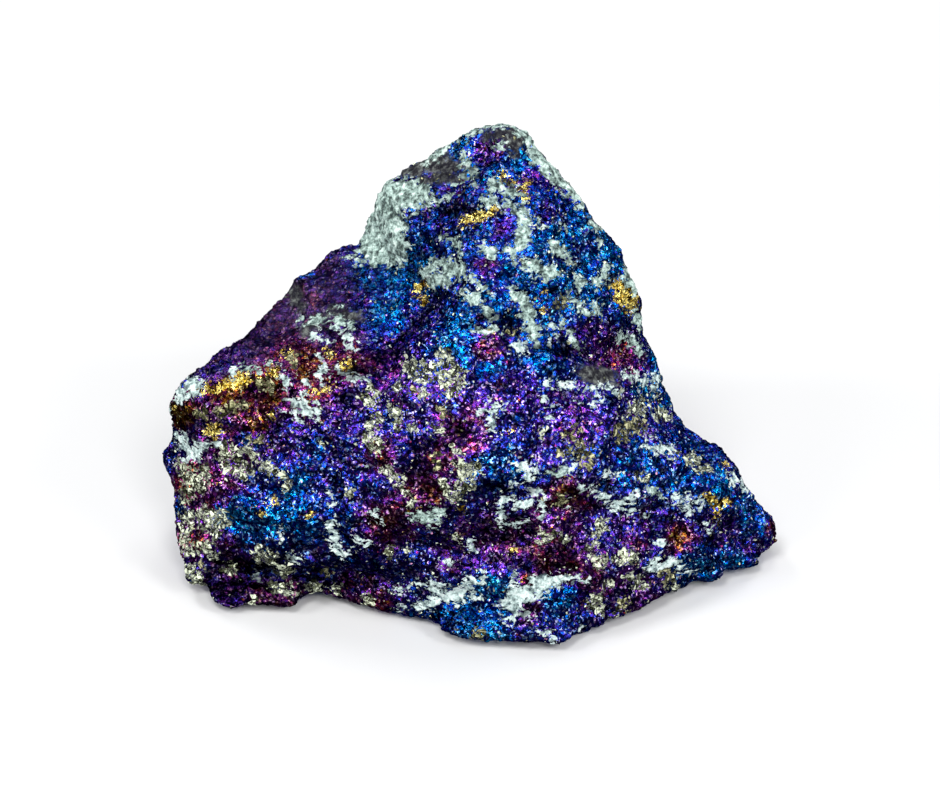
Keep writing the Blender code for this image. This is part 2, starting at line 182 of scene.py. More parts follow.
GREY_STROKES = [
    (-22.8, 16.8, 0.3, -21.4, 16.6, 0.4, -20.4, 17, 0.2),
    (-8, 33.9, 2, -6.2, 34.3, 1.6, -4.8, 34.2, 1.2), (-9, 31.6, 2.1, -7.6, 31.2, 1.4),
    (-9.5, 29.2, 1.8, -7.8, 28.8, 1.8), (-10.6, 27.8, 0.5, -8.6, 27.6, 0.6),
    (-12.2, 27.6, 0.2, -10.4, 27.8, 0.3), (-5.2, 32.6, 0.5, -3.8, 33.3, 0.4, -1.8, 34, 0.2),
    (-17, 21.4, 0.3, -14, 21.8, 0.4, -11.8, 21.2, 0.3), (-12.8, 22.7, 0.3),
    (-1.4, 40, 0.5, 0.6, 41, 0.6, 2.4, 41.4, 0.6, 4.2, 41.2, 0.4),
    (-4.2, 37.4, 0.4, -2.8, 38.8, 0.4, -1.4, 40, 0.4), (2.8, 39, 0.6),
    (5.6, 40.6, 0.8, 6.3, 39.6, 0.9, 6.8, 38.5, 1),
    (7.1, 37.9, 1, 8.1, 36.9, 1, 9.1, 35.8, 1, 10.3, 34.5, 0.8, 11.2, 33.2, 0.5),
    (-0.6, 38.2, 0.4, -0.2, 37.4, 0.5), (0.2, 36.4, 0.6, -0.6, 36.2, 0.5),
    (1.4, 35.6, 0.2, 0.6, 35, 0.2), (-2.2, 35, 0.1, -0.6, 35.4, 0.1),
    (2.4, 35.2, 0.4, 3.2, 34.6, 0.6, 4.6, 34.6, 0.5, 5.2, 34, 0.3),
    (1.2, 33.7, 0.5, 2.6, 33.6, 0.4, 3.8, 33, 0.5, 4.8, 32.4, 0.8, 5.4, 31.4, 0.9),
    (5.4, 31.4, 0.9, 5.4, 30.2, 0.8, 5, 29, 0.7, 4.2, 28.4, 0.6, 4.6, 27.2, 0.3),
    (-2.4, 30, 0.3, -1.4, 29.2, 0.4, -0.6, 28, 0.3), (1.2, 28.6, 0.4, 2.2, 28, 0.5),
    (7, 31.6, 0.1, 7.4, 30.8, 0.2), (9.2, 30.7, 0.4), (8.4, 29, 0.4, 9.2, 28.4, 0.6, 9.8, 27.4, 0.4),
    (12.2, 31.4, 0.3, 12.9, 30.8, 0.3), (12.9, 29.4, 0.3),
    (-4.4, 26.4, 0.6, -3.2, 27.4, 0.5, -2, 27, 0.9, -0.8, 26.4, 0.6),
    (-3.6, 25.4, 0.8, -2.4, 25.6, 0.7), (-2.4, 26.4, 0.8, -1.4, 26.4, 0.8),
    (-0.6, 26.2, 0.3, 0.8, 25.4, 0.3, 1.8, 24.4, 0.3),
    (-0.6, 24.2, 0.4, 0.4, 23.4, 0.6, 1.2, 23.6, 0.4), (1.6, 22.6, 0.4, 2, 21.8, 0.5),
    (0.2, 20.6, 0.3, 1.4, 20.4, 0.4, 3, 20.7, 0.3),
    (5.6, 27.2, 0.5, 6.8, 26.8, 0.8, 7.8, 26.6, 0.8, 8.8, 26.4, 0.4),
    (4.3, 24.6, 0.4, 5, 23.5, 0.6, 5.8, 22.2, 0.8, 6.4, 20.6, 0.7, 6.6, 19.4, 0.4), (9.2, 21.2, 0.4),
    (10, 20, 0.4, 10.9, 18.9, 0.4), (9.8, 24.2, 0.3, 10.4, 23.4, 0.2),
    (10.8, 23.2, 0.2, 11.6, 22.2, 0.3), (11.1, 25.3, 0.6), (12.4, 23.2, 0.4, 12.9, 22.4, 0.3),
    (13, 25.5, 0.7, 13.6, 26.6, 0.6), (16, 26.1, 0.8, 16.4, 24.8, 0.7),
    (16.9, 21.8, 0.8, 17.5, 21, 0.6), (15.2, 19.8, 0.5, 16.2, 19.3, 0.6, 17, 18.6, 0.5),
    (-5.4, 2, 0.5, -3.8, 1.8, 0.7, -2.6, 2.4, 0.4), (7.6, 6.4, 0.2, 9, 6.2, 0.3),
    (19, 4, 0.2, 18, 4.6, 0.2),
]

# Silvery sulphide grains of the display face, and the duller olive ones.
SULPHIDE_STROKES = [
    (-28.9, 7, 0.6, -27.8, 5.4, 0.8, -28.2, 3.8, 0.5), (-26.7, 6.6, 0.4, -27, 4.6, 0.4),
    (-28.4, 2.2, 0.5, -27.9, 0.8, 0.4), (-26.4, 2, 0.9, -25, 1.6, 0.9, -25.8, 0.5, 0.6),
    (-28.5, 0, 0.5, -28.2, -1.6, 0.5), (-26.6, -1, 0.6, -25.8, -1.9, 0.5),
    (-28, -3.4, 0.6, -27.2, -4.4, 0.6), (-24.1, -3.2, 0.6), (-20.9, -1.8, 0.8, -19.9, -2.2, 0.6),
    (-18.6, -3.4, 0.7), (-24.4, 8.6, 0.9, -23.6, 7.2, 1.3, -22.6, 6.6, 0.8),
    (-22.4, 8.8, 0.6, -21.9, 8, 0.5), (-20.3, 6.9, 0.5, -19.6, 6.3, 0.4),
    (-18.6, 6, 0.3, -18.2, 5.2, 0.5), (-6.2, 17, 0.7, -5.2, 16.5, 1, -4.4, 16.8, 0.8),
    (-5, 15.6, 0.4, -4.2, 15.6, 0.4), (-2.6, 15.6, 1, -1.4, 15.8, 1.2, -1.8, 14.8, 0.8),
    (-2.6, 18.2, 0.5, -2.2, 17.2, 0.8), (-9.9, 14, 1), (-7.4, 15, 0.4), (-4.9, 14.3, 0.4),
    (-7.6, 12.6, 0.5, -7.4, 12, 0.4), (-9.2, 11.6, 0.6, -9.9, 10.8, 0.6),
    (-10.6, 9.4, 0.5, -9.4, 9.2, 0.9), (-7.4, 10.9, 0.4), (-5.8, 10.8, 0.5),
    (-4, 10.8, 0.4, -3.2, 10.4, 0.4), (-8.2, 6.6, 0.4, -7.4, 5.6, 0.5, -6.4, 5, 0.5), (-5.9, 3.3, 0.3),
    (-6.4, 4.2, 0.3), (-1.8, 8.6, 0.3, -0.8, 7.4, 0.6, 0.2, 6.9, 0.7),
    (-0.2, 6.6, 0.6, -0.4, 5.4, 0.8, -1.2, 4.6, 0.8, -1.8, 3.8, 0.6), (-2.6, 5.2, 0.5, -2.2, 4.4, 0.5),
    (-1.4, 0, 0.6), (-7.9, -1.5, 0.5), (-6.2, -1.5, 0.4), (-12.1, 4.3, 0.35), (-15.6, -5.3, 0.6),
    (-13.5, -5.4, 0.5), (-10.1, -6.4, 0.5), (-19.4, -5.2, 0.4, -17.8, -5.4, 0.4), (-21.6, -6.4, 0.4),
    (-22.8, -7.2, 0.2), (7.3, 10.2, 0.6), (17, 12.8, 0.9), (14.8, 14.4, 0.2),
    (15.2, 11.9, 0.3, 15.9, 12.4, 0.2), (18.7, 13.9, 0.3), (19.2, 12.1, 0.7), (20.6, 8.2, 0.4),
    (22.4, 7.6, 0.7, 23, 6.9, 0.4), (17.3, 6.1, 0.5), (24, 6.8, 0.2), (7.4, -0.1, 0.8),
    (9.5, -0.2, 0.5), (13.1, 1, 0.7), (12.2, -0.7, 0.5), (12.9, -2.5, 0.7),
    (15.2, -2.2, 0.5, 16.2, -2, 0.6), (13.9, -4.9, 0.5), (16, -4.2, 0.5, 17.2, -4.8, 0.6),
    (12.6, -6.6, 0.8, 13, -7.4, 0.5), (14.5, -8.1, 0.4), (20.2, -5.3, 0.4), (5.1, 27.5, 0.3),
    (9.9, 27.4, 0.3), (-14.6, 9.2, 0.3), (8.8, 10.2, 0.3),
]
OLIVE_STROKES = [
    (-24.9, 12.4, 0.5, -23.4, 12.9, 0.6, -22.6, 13.2, 0.4), (-26.9, 12.2, 0.5), (-20.4, 15.3, 0.8),
    (-17.8, 17.8, 0.6), (-22.2, 9.6, 0.3, -20.8, 9.4, 0.3), (-5.8, 14.6, 0.5),
    (-2.6, 12.6, 0.3, -2.4, 11.6, 0.4), (9.3, 10.2, 0.6), (10.8, 10.4, 0.5),
    (11.2, 8.6, 1.1, 11.6, 7.6, 0.8), (9.2, 8.3, 0.3, 10.4, 8.3, 0.3), (15, 10.4, 0.9, 16.6, 10.9, 0.8),
    (15.4, -6.8, 0.6), (9.2, 23.4, 0.6), (-3.4, 7.4, 0.5), (0.8, -9.8, 0.6), (9.3, 3.6, 0.5),
    (19.6, -3.9, 0.7), (-14.4, -3.7, 0.4), (-26.8, -3, 0.3), (3.6, 35, 0.4), (4.2, 20.4, 0.2),
]

# Brassy gold places.
GOLD_STROKES = [
    (-27.5, 14.6, 0.2, -25.5, 14.8, 0.3, -24.2, 15.2, 0.6, -23, 15.6, 0.8, -22, 15.8, 0.4),
    (-20.2, 16, 0.3, -19.4, 16.6, 0.5), (-18.2, 18.2, 0.4), (-25.7, 10.6, 0.8), (-29.7, 12.8, 0.25),
    (-19.8, 12.1, 0.3), (-19.7, 3.5, 0.4), (-20.9, 2.2, 0.3), (-16.5, 2.1, 0.3, -15.9, 2.2, 0.3),
    (-14.2, 18.4, 0.3), (-15.4, 14.4, 0.2, -14, 14.8, 0.2), (-12.6, 17.2, 0.4, -11.8, 16.8, 0.3),
    (14.8, 25, 0.7, 15.6, 24.1, 1.2, 16.2, 23, 0.8),
    (-0.6, 31.4, 0.3, 0.2, 31.8, 0.5, 1.2, 31.9, 0.5, 2.4, 32.7, 0.4),
    (5.8, 35.4, 0.3, 5.4, 34.6, 0.4, 5.6, 33.8, 0.4), (4.4, 35.4, 0.3), (3.2, 36.1, 0.3),
    (7.3, 24.3, 0.3), (7.5, 22.5, 0.3), (2.2, 20.5, 0.2), (23.4, 4, 0.3, 24.8, 3.4, 0.4, 26, 3.4, 0.3),
    (24.6, 2.4, 0.3, 24.7, 1.6, 0.3), (25.5, 7.2, 0.2), (-5.4, 24.9, 0.3, -4.4, 25.2, 0.3),
    (-4.6, 23.7, 0.35), (-5.8, 24, 0.2), (4.4, -1.4, 0.25), (4, 10.5, 0.2), (-0.9, 2.6, 0.3),
]

# Worn slate-grey places, and painted shadow in the creases between the ledges, in the gully and under
# the overhangs.
SLATE_STROKES = [
    (-6.8, 36.4, 0.8, -4.6, 37.2, 1.1, -2.6, 37.2, 1.2, -1.2, 36.8, 0.9),
    (-4.6, 35.6, 0.8, -1.6, 35.8, 0.6), (1.8, 40.2, 0.6, 3.6, 40.2, 0.9, 4.8, 39.6, 1, 4.6, 38.6, 0.8),
    (-17.6, 24.2, 0.9, -17, 23, 0.6), (11.4, 16.4, 0.9, 12.8, 16, 1.1, 14.2, 16, 0.8),
    (-16.4, 20.8, 0.7, -13.4, 22.4, 0.6, -11, 21.8, 0.5),
]
PAINTED_SHADOW_STROKES = [
    (-3.2, 24.2, 0.3, -4.4, 22.4, 0.6, -5.8, 20.6, 0.5, -7.8, 19, 0.4, -9.2, 17.6, 0.5),
    (-9.2, 17.6, 0.7, -11.4, 16.6, 0.6, -13.2, 16, 0.4),
    (-27.4, 13.6, 0.3, -23, 14, 0.4, -19.4, 14, 0.5, -17.8, 13, 0.3),
    (-26.4, 9.6, 0.3, -22.8, 10.6, 0.3, -19, 10.8, 0.3),
    (-28, -5, 0.4, -24, -5.1, 0.8, -18, -4.3, 0.8, -14, -4.5, 0.8, -9.6, -4.7, 0.5),
    (-26, -2.6, 0.3, -22.4, -3, 0.6, -18.4, -2.2, 0.5), (1.4, 21.9, 0.3, 3.8, 21.8, 0.4),
    (6.6, 18.8, 0.3, 9, 18.4, 0.5, 11.6, 18.6, 0.4), (-1.6, 10.6, 0.5, 0.6, 10.4, 0.4),
    (-4, 9.6, 0.4, -2, 8.8, 0.3), (0.8, 5.2, 0.4, 3.2, 4.8, 0.5, 5.4, 4.4, 0.3, 8, 5.2, 0.3),
    (9, 5.2, 0.2, 11.4, 3.8, 0.3, 13.2, 2.8, 0.3), (3.6, 2.2, 0.3, 5, 2, 0.3),
    (2, -2, 0.3, 6, -2.8, 0.5, 9.8, -2.8, 0.5, 12, -3.4, 0.4),
    (-2.4, 35.8, 0.3, 1, 37, 0.3, 2.8, 37.4, 0.3), (-2.8, 32.2, 0.4, 0.6, 32.8, 0.3), (8.6, 24.6, 0.4),
    (18, 1.6, 0.3, 20.4, 1.8, 0.4), (24, -0.6, 0.4, 25.8, 1.6, 0.4), (5.2, -8, 0.4, 6.4, -7, 0.4),
    (-4.8, 6.8, 0.4, -3, 4.2, 0.4),
]

# Tints of the display face: (u, v, reach, film, brightness), and for the dull ones the dullness. The
# brightness holds painted light and shade along with the tarnish's own tone, such as lower undersides
# and a shaded gully.
# The film runs from 0, a thin golden tarnish, over magenta, purple and blue to 1, cyan.
TINTS = [
    (4, 31, 6, 0.74, 1), (11, 29, 5, 0.82, 1.1), (-0.4, 38.8, 1.4, 0.78, 1.1),
    (1.2, 38.2, 0.8, 0.38, 1), (5, 37.8, 1, 0.92, 1.3), (2.6, 35.8, 1, 0.86, 1.1),
    (6, 35.4, 1, 0.36, 1), (8.2, 34.6, 1.6, 0.46, 1.5), (7.4, 34, 1.6, 0.78, 1.1),
    (3.2, 31, 1.5, 0.34, 1.6), (7.5, 32.4, 1, 0.28, 0.5), (9, 31, 3, 0.8, 1.1), (11.5, 29, 1, 0.34, 1),
    (10.5, 26, 3, 0.82, 1.4), (2, 27, 1, 0.34, 0.9), (5, 26.4, 1.8, 0.84, 0.8),
    (2, 23.2, 1.8, 0.84, 0.8), (8, 24, 3.5, 0.78, 1.1), (13.5, 28.5, 2.8, 0.86, 1.8),
    (15.2, 23.6, 1.4, 0.8, 1.5), (3, 21.6, 1.6, 0.66, 0.5), (-2, 20, 2, 0.84, 1.3),
    (1.8, 18.6, 1, 0.34, 1.1), (-4.6, 18.4, 1.8, 0.62, 1.6), (2, 16.6, 1, 0.92, 1.3),
    (7.2, 17.8, 1.4, 0.82, 1.2), (9, 18.6, 1.8, 0.64, 0.5), (12.5, 19.5, 2, 0.5, 0.6),
    (15, 18, 1.4, 0.34, 1.1), (16.5, 16.8, 1.5, 0.46, 1), (17.2, 14.4, 1, 0.9, 1.4),
    (15.6, 13.2, 1.6, 0.6, 1), (14, 13.8, 1.8, 0.62, 0.75), (19, 16.6, 1.8, 0.78, 1.6),
    (18.6, 14, 1.8, 0.8, 1.6), (-16.2, 26, 0.8, 0.96, 1.4), (-8, 22, 1.4, 0.9, 1.4),
    (-7.2, 24.4, 1.6, 0.84, 1.1), (-4.6, 22, 1.8, 0.6, 0.8), (-6.2, 19.4, 1.8, 0.58, 0.9),
    (-9, 17.6, 2.2, 0.46, 0.45), (-8.8, 20, 1.6, 0.74, 0.9), (-17.2, 18.8, 1.4, 0.28, 0.9),
    (-16.2, 16.4, 1, 0.15, 0.4), (-16, 17.2, 1.4, 0.24, 0.7), (-14.8, 15.6, 1.2, 0.3, 0.5),
    (-13.4, 13.2, 1.2, 0.5, 1.2), (-20, 14.2, 1.4, 0.2, 0.35), (-20.5, 16.6, 1, 0.18, 1.1),
    (-24, 14.6, 1.4, 0.12, 1), (-22, 13.6, 1.6, 0.34, 0.6), (-25, 13, 1.4, 0.38, 0.8),
    (-18.6, 13.6, 1.4, 0.4, 0.8), (-21.5, 11.6, 1.3, 0.2, 1.2), (-24.6, 9, 2, 0.4, 1),
    (-18.5, 9.4, 2.2, 0.56, 1), (-25.2, 5.2, 2, 0.42, 1.5), (-28, 5, 2, 0.3, 1.1),
    (-30.2, 7, 1, 0.66, 1.1), (-29.6, 2.6, 1.2, 0.84, 0.6), (-28.4, -0.4, 1.8, 0.34, 1),
    (-16, 7.6, 2.2, 0.66, 1), (-20, 4.8, 1.8, 0.64, 1.5), (-17.8, 4.8, 1.8, 0.8, 1.3),
    (-14.8, 3.4, 1.4, 0.66, 0.6), (-23.6, 2.2, 1.3, 0.88, 1.6), (-21.4, 0.8, 2, 0.86, 1.6),
    (-18, 1.6, 2.2, 0.8, 1.5), (-15, 1, 2.4, 0.74, 0.8), (-24.4, -5.6, 1.8, 0.5, 0.5),
    (-20.8, -6.8, 1.6, 0.34, 0.35), (-17, -6.6, 1.6, 0.34, 0.35), (-12, -5.8, 2.2, 0.4, 0.7),
    (-9.4, -6.4, 1.2, 0.2, 0.7), (-10, -2.4, 2.4, 0.64, 0.6), (-6.4, -3.4, 2.4, 0.6, 0.6),
    (-9, 0.6, 1.8, 0.27, 0.5), (-12, 6, 2.4, 0.6, 0.9), (-13.2, 11, 2.2, 0.6, 0.75),
    (-15.6, 13.4, 1.6, 0.3, 0.8), (-11.8, 13, 1.6, 0.54, 0.5), (-7.6, 13.8, 2.6, 0.56, 1.3),
    (-3.4, 14, 2.2, 0.56, 1.2), (-6, 12, 2.4, 0.6, 1.1), (-3, 12.6, 0.8, 0.24, 1.1),
    (-2.4, 10.2, 1.6, 0.48, 0.35), (-5.6, 8.4, 1.8, 0.6, 0.45), (-3.4, 8.2, 1.4, 0.3, 0.4),
    (-2, 7.6, 1, 0.38, 1.2), (-8.6, 8, 1.6, 0.34, 0.7), (-4.2, 4.6, 1.8, 0.3, 0.5),
    (-3.4, 6, 1, 0.42, 1.1), (-6, 2.4, 1.8, 0.38, 0.7), (0.6, 9.6, 1.4, 0.34, 1.3),
    (-0.4, 11.2, 1.6, 0.42, 0.6), (2.6, 7.2, 2, 0.76, 1.2), (2.2, 4.8, 1.6, 0.66, 0.5),
    (5, 10.4, 2.4, 0.6, 1), (2, 14.8, 1.8, 0.54, 1.1), (5.5, 14.2, 2.2, 0.56, 1.1),
    (9.4, 12.4, 2.2, 0.52, 1.1), (9, 16.4, 1.8, 0.7, 0.8), (12, 11.4, 2, 0.54, 1.3),
    (18.5, 11, 2.4, 0.62, 1.6), (13.8, 8.4, 2, 0.66, 1.4), (17, 7.6, 2.2, 0.76, 1.3),
    (21.6, 10.4, 2.2, 0.76, 1), (24, 8.8, 2, 0.76, 0.6), (20.5, 6.4, 2.2, 0.74, 1.4),
    (24.6, 5, 2, 0.74, 1.3), (24.8, 4.6, 0.7, 0.92, 1.5), (28, 2.6, 1.6, 0.74, 1.8),
    (28.6, 1, 1.4, 0.8, 1.9), (28.2, -0.8, 1.4, 0.52, 1.6), (25.5, 0, 1.8, 0.58, 1.5),
    (22, 1, 1.6, 0.6, 0.6), (21.2, -0.1, 1.4, 0.12, 1.1), (17, -0.6, 0.9, 0.26, 1.1),
    (18, 0.6, 2, 0.6, 0.7), (23.6, -2.2, 1.8, 0.8, 1.2), (26.6, -3, 2, 0.8, 1.4),
    (22.5, -4.6, 1.8, 0.76, 0.8), (14.2, 0.8, 1.6, 0.58, 0.7), (9.6, 3.4, 1.8, 0.32, 0.7),
    (7.8, 1.6, 1.8, 0.44, 1.1), (3.2, -0.4, 2.4, 0.42, 0.45), (-0.4, 0.6, 1.1, 0.48, 1.2),
    (8, -2.4, 2.4, 0.36, 0.4), (12.4, -3.8, 2, 0.38, 0.4), (11, 0.6, 1.8, 0.52, 0.9),
    (-1, -2, 1.8, 0.5, 0.7), (2.4, -3.2, 1.4, 0.58, 1.2), (5.4, -3.2, 1, 0.66, 1.3),
    (2.6, -4.8, 1.2, 0.88, 1.4), (6.2, -4, 0.7, 0.26, 1), (-0.5, -7.4, 2.2, 0.8, 0.75),
    (1.4, -9.2, 1.6, 0.86, 1.1), (6, -7.2, 1.2, 0.42, 0.7), (9, -6.4, 1.6, 0.84, 1.2),
    (9.6, -8.6, 1.8, 0.64, 0.8), (12.5, -5.4, 1.6, 0.52, 0.9), (17.5, -6.2, 1.6, 0.48, 0.7),
    (15, -3.4, 1.8, 0.54, 0.65), (-4, -8, 1.4, 0.74, 0.6), (-8.5, -5, 1.6, 0.5, 0.6),
]
DULL_TINTS = [
    (2.2, 38.8, 1, 0.44, 0.5, 0.1), (-1, 33, 2.2, 0.62, 0.6, 0.2), (-1.5, 28, 2.5, 0.68, 0.7, 0.1),
    (-6.2, 26.2, 2.6, 0.88, 0.7, 0.1), (-11, 26.8, 1.2, 0.78, 0.9, 0.2),
    (-10, 24.4, 2.2, 0.8, 0.9, 0.2), (-10.8, 24, 0.8, 0.36, 1, 0.1), (-13, 25, 2.5, 0.54, 0.7, 0.6),
    (-15.5, 24, 2.5, 0.46, 0.6, 0.8), (-17.5, 22, 3, 0.44, 0.6, 0.8), (-21.5, 20, 2.6, 0.48, 0.6, 0.7),
    (-13, 20, 2.2, 0.52, 0.6, 0.5), (-12.5, 17.6, 1.8, 0.28, 0.6, 0.1),
    (-25, 17.4, 1.8, 0.56, 0.8, 0.4), (-19.4, 18, 1.4, 0.32, 0.9, 0.2),
    (-28.8, 12.4, 1.2, 0.13, 0.5, 0.1), (-22.6, 9.8, 0.9, 0.9, 0.7, 0.1),
    (-19.5, -1.6, 2.6, 0.64, 0.4, 0.1), (-14.5, -2.4, 2.6, 0.66, 0.5, 0.1),
    (-23.5, -2, 1.8, 0.42, 0.4, 0.1), (30.4, 0.6, 0.8, 0.14, 0.5, 0.2),
]

# Past the display face each kind of patch is scattered by a noise: its strokes, the noise, which
# side of it, and from which level. A scatter noise is its spacing in millimetres, octaves and seed.
PATCHES = {
    "white": (WHITE_STROKES, "broad", 1.0, 0.65),
    "grey": (GREY_STROKES, "broad", 1.0, 0.5),
    "silver": (SULPHIDE_STROKES, "fine", 1.0, 0.62),
    "olive": (OLIVE_STROKES, "rare", 1.0, 0.85),
    "gold": (GOLD_STROKES, "rare", -1.0, 0.8),
    "slate": (SLATE_STROKES, "broad", -1.0, 0.75),
    "dark": (PAINTED_SHADOW_STROKES, "fine", -1.0, 0.7),
}
SCATTER_NOISES = {"broad": (4.0, 4, 81), "fine": (2.2, 2, 91), "rare": (2.6, 2, 111)}
PATCH_SLOPE = 2.0

# The tint that fills in where no other is near, its weight, and how fast tints fall off. Then the
# middle and the spread of the film and of the brightness past the display face.
DEFAULT_TINT, DEFAULT_WEIGHT, TINT_FALL = (0.64, 0.8, 0.1), 0.05, 1.5
HIDDEN_FILM, HIDDEN_BRIGHT, HIDDEN_BRIGHT_RANGE = (0.62, 0.26), (1.0, 0.7), (0.35, 1.6)
HIDDEN_DULLNESS = 0.08

# Large numbers that mix the bits of whole numbers.
HASH_FACTORS = (73856093, 19349663, 83492791, 2654435761)
HASH_ROUNDS = ((13, 1274126177), (16, 2246822519))
NOISE_GAIN, FAR, TINY = 1.6, 9.0, 1e-9

# Colours of the tarnish film from thin to thick: dull facets, keen facets, and glints over both.
DEEP_TARNISH = [
    (0.00, (0.26, 0.14, 0.012)), (0.10, (0.19, 0.056, 0.011)), (0.20, (0.11, 0.011, 0.016)),
    (0.30, (0.10, 0.009, 0.070)), (0.42, (0.070, 0.011, 0.16)), (0.54, (0.030, 0.011, 0.21)),
    (0.66, (0.009, 0.012, 0.235)), (0.78, (0.001, 0.021, 0.24)), (0.90, (0.0, 0.032, 0.25)),
    (1.00, (0.0, 0.045, 0.265)),
]
KEEN_TARNISH = [
    (0.00, (0.98, 0.61, 0.070)), (0.10, (0.88, 0.30, 0.040)), (0.20, (0.65, 0.060, 0.060)),
    (0.30, (0.72, 0.070, 0.43)), (0.42, (0.45, 0.070, 0.82)), (0.54, (0.20, 0.070, 0.98)),
    (0.66, (0.035, 0.085, 0.98)), (0.78, (0.0, 0.17, 0.98)), (0.90, (0.0, 0.36, 1.0)),
    (1.00, (0.008, 0.43, 1.0)),
]
GLINT_TARNISH = [
    (0.05, (1.0, 0.80, 0.35)), (0.22, (1.0, 0.50, 0.42)), (0.38, (1.0, 0.52, 0.90)),
    (0.52, (0.80, 0.60, 1.0)), (0.66, (0.50, 0.66, 1.0)), (0.80, (0.22, 0.60, 1.0)),
    (1.00, (0.14, 0.64, 1.0)),
]
# The grey that dull places are mixed towards, and the tint of the metal's edges.
DULL_GREY, EDGE_TINT = (0.06, 0.045, 0.06, 1.0), (0.15, 0.12, 0.35, 1.0)

# The stone's other colours, from its darkest places to its lightest.
GREY_GANGUE = [
    (0.37, (0.037, 0.055, 0.050)), (0.44, (0.15, 0.21, 0.185)), (0.50, (0.32, 0.445, 0.40)),
    (0.57, (0.53, 0.70, 0.635)), (0.65, (0.85, 0.985, 0.92)),
]
WHITE_GANGUE = [
    (0.35, (0.065, 0.095, 0.105)), (0.43, (0.32, 0.425, 0.415)), (0.50, (0.595, 0.755, 0.72)),
    (0.60, (0.87, 0.995, 0.965)),
]
SILVER = [(0.22, (0.030, 0.034, 0.012)), (0.38, (0.22, 0.25, 0.12)), (0.52, (0.92, 1.0, 0.76))]
OLIVE = [(0.15, (0.035, 0.035, 0.010)), (0.5, (0.20, 0.205, 0.08)), (0.9, (0.80, 0.78, 0.46))]
BRASS = [(0.15, (0.06, 0.028, 0.004)), (0.5, (0.52, 0.33, 0.025)), (0.85, (1.0, 0.86, 0.26))]
SLATE = [(0.38, (0.010, 0.010, 0.012)), (0.5, (0.034, 0.035, 0.037)), (0.68, (0.21, 0.23, 0.21))]

# Cells and noises of the ore, in millimetres: cells to the millimetre, and for a noise its scale,
# detail and roughness. A streak stretches what it is used on along the ledges.
FINE_CELLS, MIDDLE_CELLS, GRAIN_CELLS = 5.4, 2.0, 1.6
DRIFT_NOISE, DRIFT = (1.7, 2.0, 0.5), 0.5
BLOTCH_NOISE, SPECK_NOISE, GRAIN_NOISE = (0.85, 5.0, 0.68), (1.3, 4.0, 0.62), (1.5, 4.0, 0.66)
TENDRIL_NOISE, SLOW_NOISE, CLUSTER_NOISE = (2.0, 4.0, 0.6), (0.5, 3.0, 0.6), (0.7, 3.0, 0.6)
HATCH_NOISE, CHIP_HATCH_NOISE = (7.0, 2.0, 0.6), (5.0, 3.0, 0.6)
BUMP_NOISE, BUMP_DISTANCE = (5.0, 3.0, 0.6), 0.0001
STREAK, TENDRIL_STREAK, CHIP_STREAK = (0.7, 0.8, 1.15), (0.6, 0.75, 1.25), (0.7, 0.8, 1.2)
HALF, ALL = (0.5, 0.5, 0.5), (0.0, 1.0)

# How far noise breaks up each patch's edge, in millimetres, and the depths between which its cells
# come in, with the share of them that is taken at most.
PALE_RAGGED, TENDRIL_RAGGED, PALE_CHANCE = 2.4, 3.2, (-0.16, 0.10, 1.0)
SULPHIDE_RAGGED, SULPHIDE_CHANCE, GRAIN_CHANCE = 1.3, (-0.50, 0.35, 1.0), (0.02, 0.97)
GOLD_RAGGED, GOLD_CHANCE = 1.6, (-0.5, 0.45, 0.9)
SLATE_RAGGED, SLATE_DEPTHS = 3.0, (-0.3, 0.5)
# The painted shadow: how far noise breaks it up, the depths over which it comes in, and how much it
# darkens.
PAINTED_SHADOW_RAGGED, PAINTED_SHADOW_DEPTHS, PAINTED_SHADOW_STRENGTH = 1.6, (-0.5, 0.4), 0.75
GRAIN_GAP, GRAIN_GAP_RAGGED = 0.06, 0.08

# How the film varies with a slow noise and from cell to cell, and the few facets where it is much
# thinner. Then which facets are keen or glint, and how the film drifts on keen ones.
FILM_SLOW, FILM_FINE, FILM_MIDDLE = 0.45, 0.16, 0.20
EMBER_OVER, EMBER_THIN = 0.975, 0.42
KEEN_FINE, KEEN_MIDDLE, KEEN_RANGE = 0.6, 0.4, (0.46, 0.86)
KEEN_FILM, KEEN_DRIFT = 0.55, 0.6
GLINT_RANGE, GLINT_SHARE = (0.80, 0.95), 0.66

# Light and shade within each kind of surface: the range that is read, then what it becomes.
CLUSTER_SHADE, SEAM_SHADE = (0.36, 0.62, 0.55, 1.42), (0.0, 0.10, 0.35, 1.0)
# The brightness carries painted light and shade, and grooves get painted shade.
BRIGHT_SHADE, PAINTED_GROOVE_SHADE = (0.0, 1.6, 0.3, 1.5), 0.6
GANGUE_FLECK, GANGUE_EDGE = (0.0, 1.0, 0.82, 1.08), (-0.2, 0.4, 0.6, 1.0)
BARE_FINE, BARE_GRAIN, BARE_HATCH = 0.35, 0.65, (0.40, 0.58, 0.05, 0.70)
DULL_GREY_SHARE, SLATE_STONY, BARE_CHALKY = 0.8, 0.8, 0.75
FACET_ROUGHNESS, DULL_ROUGHNESS, STONE_ROUGHNESS = (0.0, 1.0, 0.12, 0.30), 0.25, 0.75
CHIP_TONE = (0.36, 0.60, -0.2, 0.2)
CHIP_METALLIC, CHIP_ROUGHNESS = (0.3, 0.7, 0.08, 0.35), (0.3, 0.7, 0.42, 0.26)

# How far facets lean, by cell: on tarnish, then on bare sulphide; and the share of it that is left
# on dull tarnish and on stone.
TARNISH_LEAN, BARE_LEAN = (0.62, 0.6), (0.36, 0.62)
DULL_SPARKLE, STONE_SPARKLE = 0.5, 0.3
ORE_BUMP, CHIP_BUMP = 0.6, 0.7


